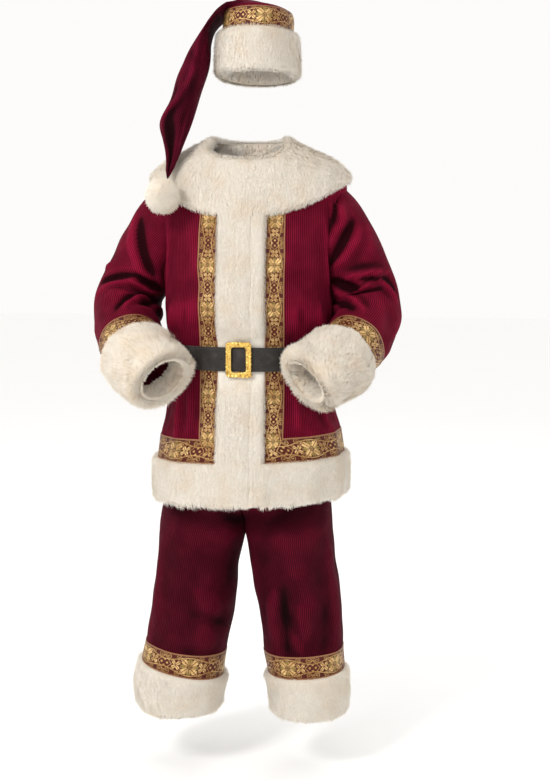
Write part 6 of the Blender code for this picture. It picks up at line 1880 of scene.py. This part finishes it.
# The pompom: a soft ball that hangs from the hat's tip, with more strands at its crown
pompom = {
    "radius": 0.046, "fill": 0.7, "hangs": (-0.14, -0.63, -0.86), "core": 0.68,
    "rows": 25, "columns": 49, "poleGap": 0.03,
    "crown": (0.12, -0.93, 0.35), "crownRows": 6, "crownStrands": 500,
}
pompomMiddle = np.array(hat["tip"]) + unit(np.array(pompom["hangs"])) * (pompom["radius"] + seamGap)
deselectAll()
bpy.ops.mesh.primitive_ico_sphere_add(subdivisions=4, radius=pompom["radius"] * pompom["core"],
                                      location=pompomMiddle - (0.0, 0.0, groundDrop))
core = bpy.context.object
core.name = core.data.name = "hat_pompom_core"
bpy.ops.object.transform_apply(location=True, rotation=False, scale=False)
core.data.shade_smooth()
core.data.materials.append(fluffyFur)
coreFlat = core.data.uv_layers[0]
coreFlat.name = "flat"
for corner in coreFlat.data:
    corner.uv = (0.5, trims["pompom"]["rootTone"])
fromCrown = np.linspace(math.pi - pompom["poleGap"], pompom["poleGap"], pompom["rows"])
down, around = np.meshgrid(fromCrown, np.linspace(0.0, 2 * math.pi, pompom["columns"]), indexing="ij")
crown = unit(np.array(pompom["crown"]))
side = unit(np.cross((0.0, 1.0, 0.0), crown))
turned = np.cos(around)[..., None] * side + np.sin(around)[..., None] * np.cross(crown, side)
ball = np.sin(down)[..., None] * turned + np.cos(down)[..., None] * crown
base = pompomMiddle + ball * pompom["radius"] * pompom["core"]
ballTrim = trims["pompom"]
crownTrim = dict(ballTrim, swirl=6.0, rise=0.5, droop=0.2, length=0.012)
crownBase, height = base[-pompom["crownRows"]:], ballTrim["fullHeight"]
ballStrands = growStrands(base, height, True, ballTrim, 109, ballTrim["strands"])
crownStrands = growStrands(crownBase, height, True, crownTrim, 110, pompom["crownStrands"])
pompomPile = makePile("hat_pompom_strands", [ballStrands, crownStrands], fluffyFur)
place(core, "white_fur", "hat_pompom")
pompomPile.parent = core
print("Fur made")


# The sizes each piece was cut to, of the flat cloth and all round on a tube; nothing is done with them
def declare(piece, width, length, area=None, extras=()):
    list(extras)


# Camera, lights and floor
view = {
    "distance": 3.5, "height": 1.4, "azimuth": 9.0, "pitch": 7.25, "sideways": 24.5,
    "focal": 1420.0, "imageHeight": 779, "sensor": 36.0, "sees": 60.0,
}


def makeCamera():
    azimuth, pitch = math.radians(view["azimuth"]), math.radians(view["pitch"])
    pan = math.atan(view["sideways"] / view["focal"])
    camera = bpy.data.objects.new("camera", bpy.data.cameras.new("camera"))
    camera.location = (math.sin(azimuth) * view["distance"], -math.cos(azimuth) * view["distance"],
                       view["height"] - groundDrop)
    camera.rotation_euler = (math.pi / 2 - pitch, 0.0, azimuth - pan)
    camera.data.sensor_width = view["sensor"]
    camera.data.lens = view["sensor"] * view["focal"] / view["imageHeight"]
    camera.data.clip_end = view["sees"]
    bpy.context.scene.collection.objects.link(camera)
    bpy.context.scene.camera = camera


studio = {
    "lights": (  # name, place, aim, size, power, colour
        ("key light", (-1.9, -3.1, 2.0), (0.0, 0.0, -0.4), 1.2, 105.0, (1.0, 0.985, 0.96)),
        ("fill light", (2.7, -2.9, 0.6), (0.0, 0.0, -0.5), 2.4, 12.0, (1.0, 0.99, 0.98)),
        ("back light", (0.6, 3.0, 2.4), (0.0, 0.0, -0.2), 2.0, 25.0, (1.0, 1.0, 1.0))),
    "background": (1.0, 0.99, 0.975, 1.0), "strength": 0.98,
    "floorSize": 30.0, "floorDark": (0.965, 0.965, 0.96, 1.0), "floorPale": (0.985, 0.985, 0.98, 1.0),
}


def addAreaLight(name, location, aim, size, power, colour):
    light = bpy.data.objects.new(name, bpy.data.lights.new(name, "AREA"))
    light.data.size, light.data.energy, light.data.color = size, power, colour
    light.location = location
    way = np.subtract(location, aim)
    light.rotation_euler = (math.atan2(math.hypot(way[0], way[1]), way[2]), 0.0, math.atan2(way[0], -way[1]))
    bpy.context.scene.collection.objects.link(light)


def makeStudio():
    bpy.context.scene.view_settings.view_transform = "Standard"
    world = bpy.data.worlds.new("studio")
    world.use_nodes = True
    background = world.node_tree.nodes["Background"]
    background.inputs["Color"].default_value = studio["background"]
    background.inputs["Strength"].default_value = studio["strength"]
    bpy.context.scene.world = world
    for light in studio["lights"]:
        addAreaLight(*light)
    deselectAll()
    bpy.ops.mesh.primitive_plane_add(size=studio["floorSize"], location=(0.0, 0.0, -groundDrop))
    floor = bpy.context.object
    floor.name = "studio_floor"
    material, nodes, shader = newMaterial("pale studio floor")
    speckle = nodes.noise(objectCoordinates(nodes), 4.0, 3.0)
    nodes.fill(shader, {"Base Color": nodes.mix(speckle, studio["floorDark"], studio["floorPale"]),
                        "Roughness": 0.8})
    floor.data.materials.append(material)


makeCamera()
makeStudio()
print("Studio set up")

# The cloth's own pieces
declare(jacketBack, 0.68, 0.9, 0.47)
for name, front in (("left", jacketLeft), ("right", jacketRight)):
    declare(front, 0.34, 0.87, 0.24)
    declare(sleeves[name], 0.54, 0.66, 0.27)
declare(waistband, 0.056, 1.16)
for panel in trouserPanels.values():
    declare(panel, 0.36, 0.89, 0.27)
declare(hatCone, 0.62, 0.69, 0.21)

# Ribbons and fur are sewn flat onto the cloth under them
for name, front in (("left", jacketLeft), ("right", jacketRight)):
    declare(ribbons["front_" + name], 0.045, 0.6)
    declare(ribbons["sleeve_" + name], 0.06, 0.44)
    declare(ribbons["leg_" + name], 0.058, 0.64)
declare(ribbons["hem"], 0.058, 1.18)
declare(ribbons["hat"], 0.048, 0.58)
furCuts = {
    "fur_hem": (0.105, 1.34, jacketBack, None), "fur_placket": (0.112, 0.66, jacketLeft, None),
    "fur_collar": (0.165, 1.2, jacketBack, 0.16), "hat_fur_band": (0.105, 0.62, hatCone, None),
    "fur_cuff_left": (0.145, 0.455, sleeves["left"], None),
    "fur_cuff_right": (0.145, 0.455, sleeves["right"], None),
    "fur_leg_left": (0.108, 0.62, trouserPanels["front", "left"], None),
    "fur_leg_right": (0.108, 0.66, trouserPanels["front", "right"], None),
}
for node, (width, length, under, area) in furCuts.items():
    coat, extras = furPieces[node]
    declare(coat, width, length, area, extras)
declare(beltStrap, 0.057, 1.22)
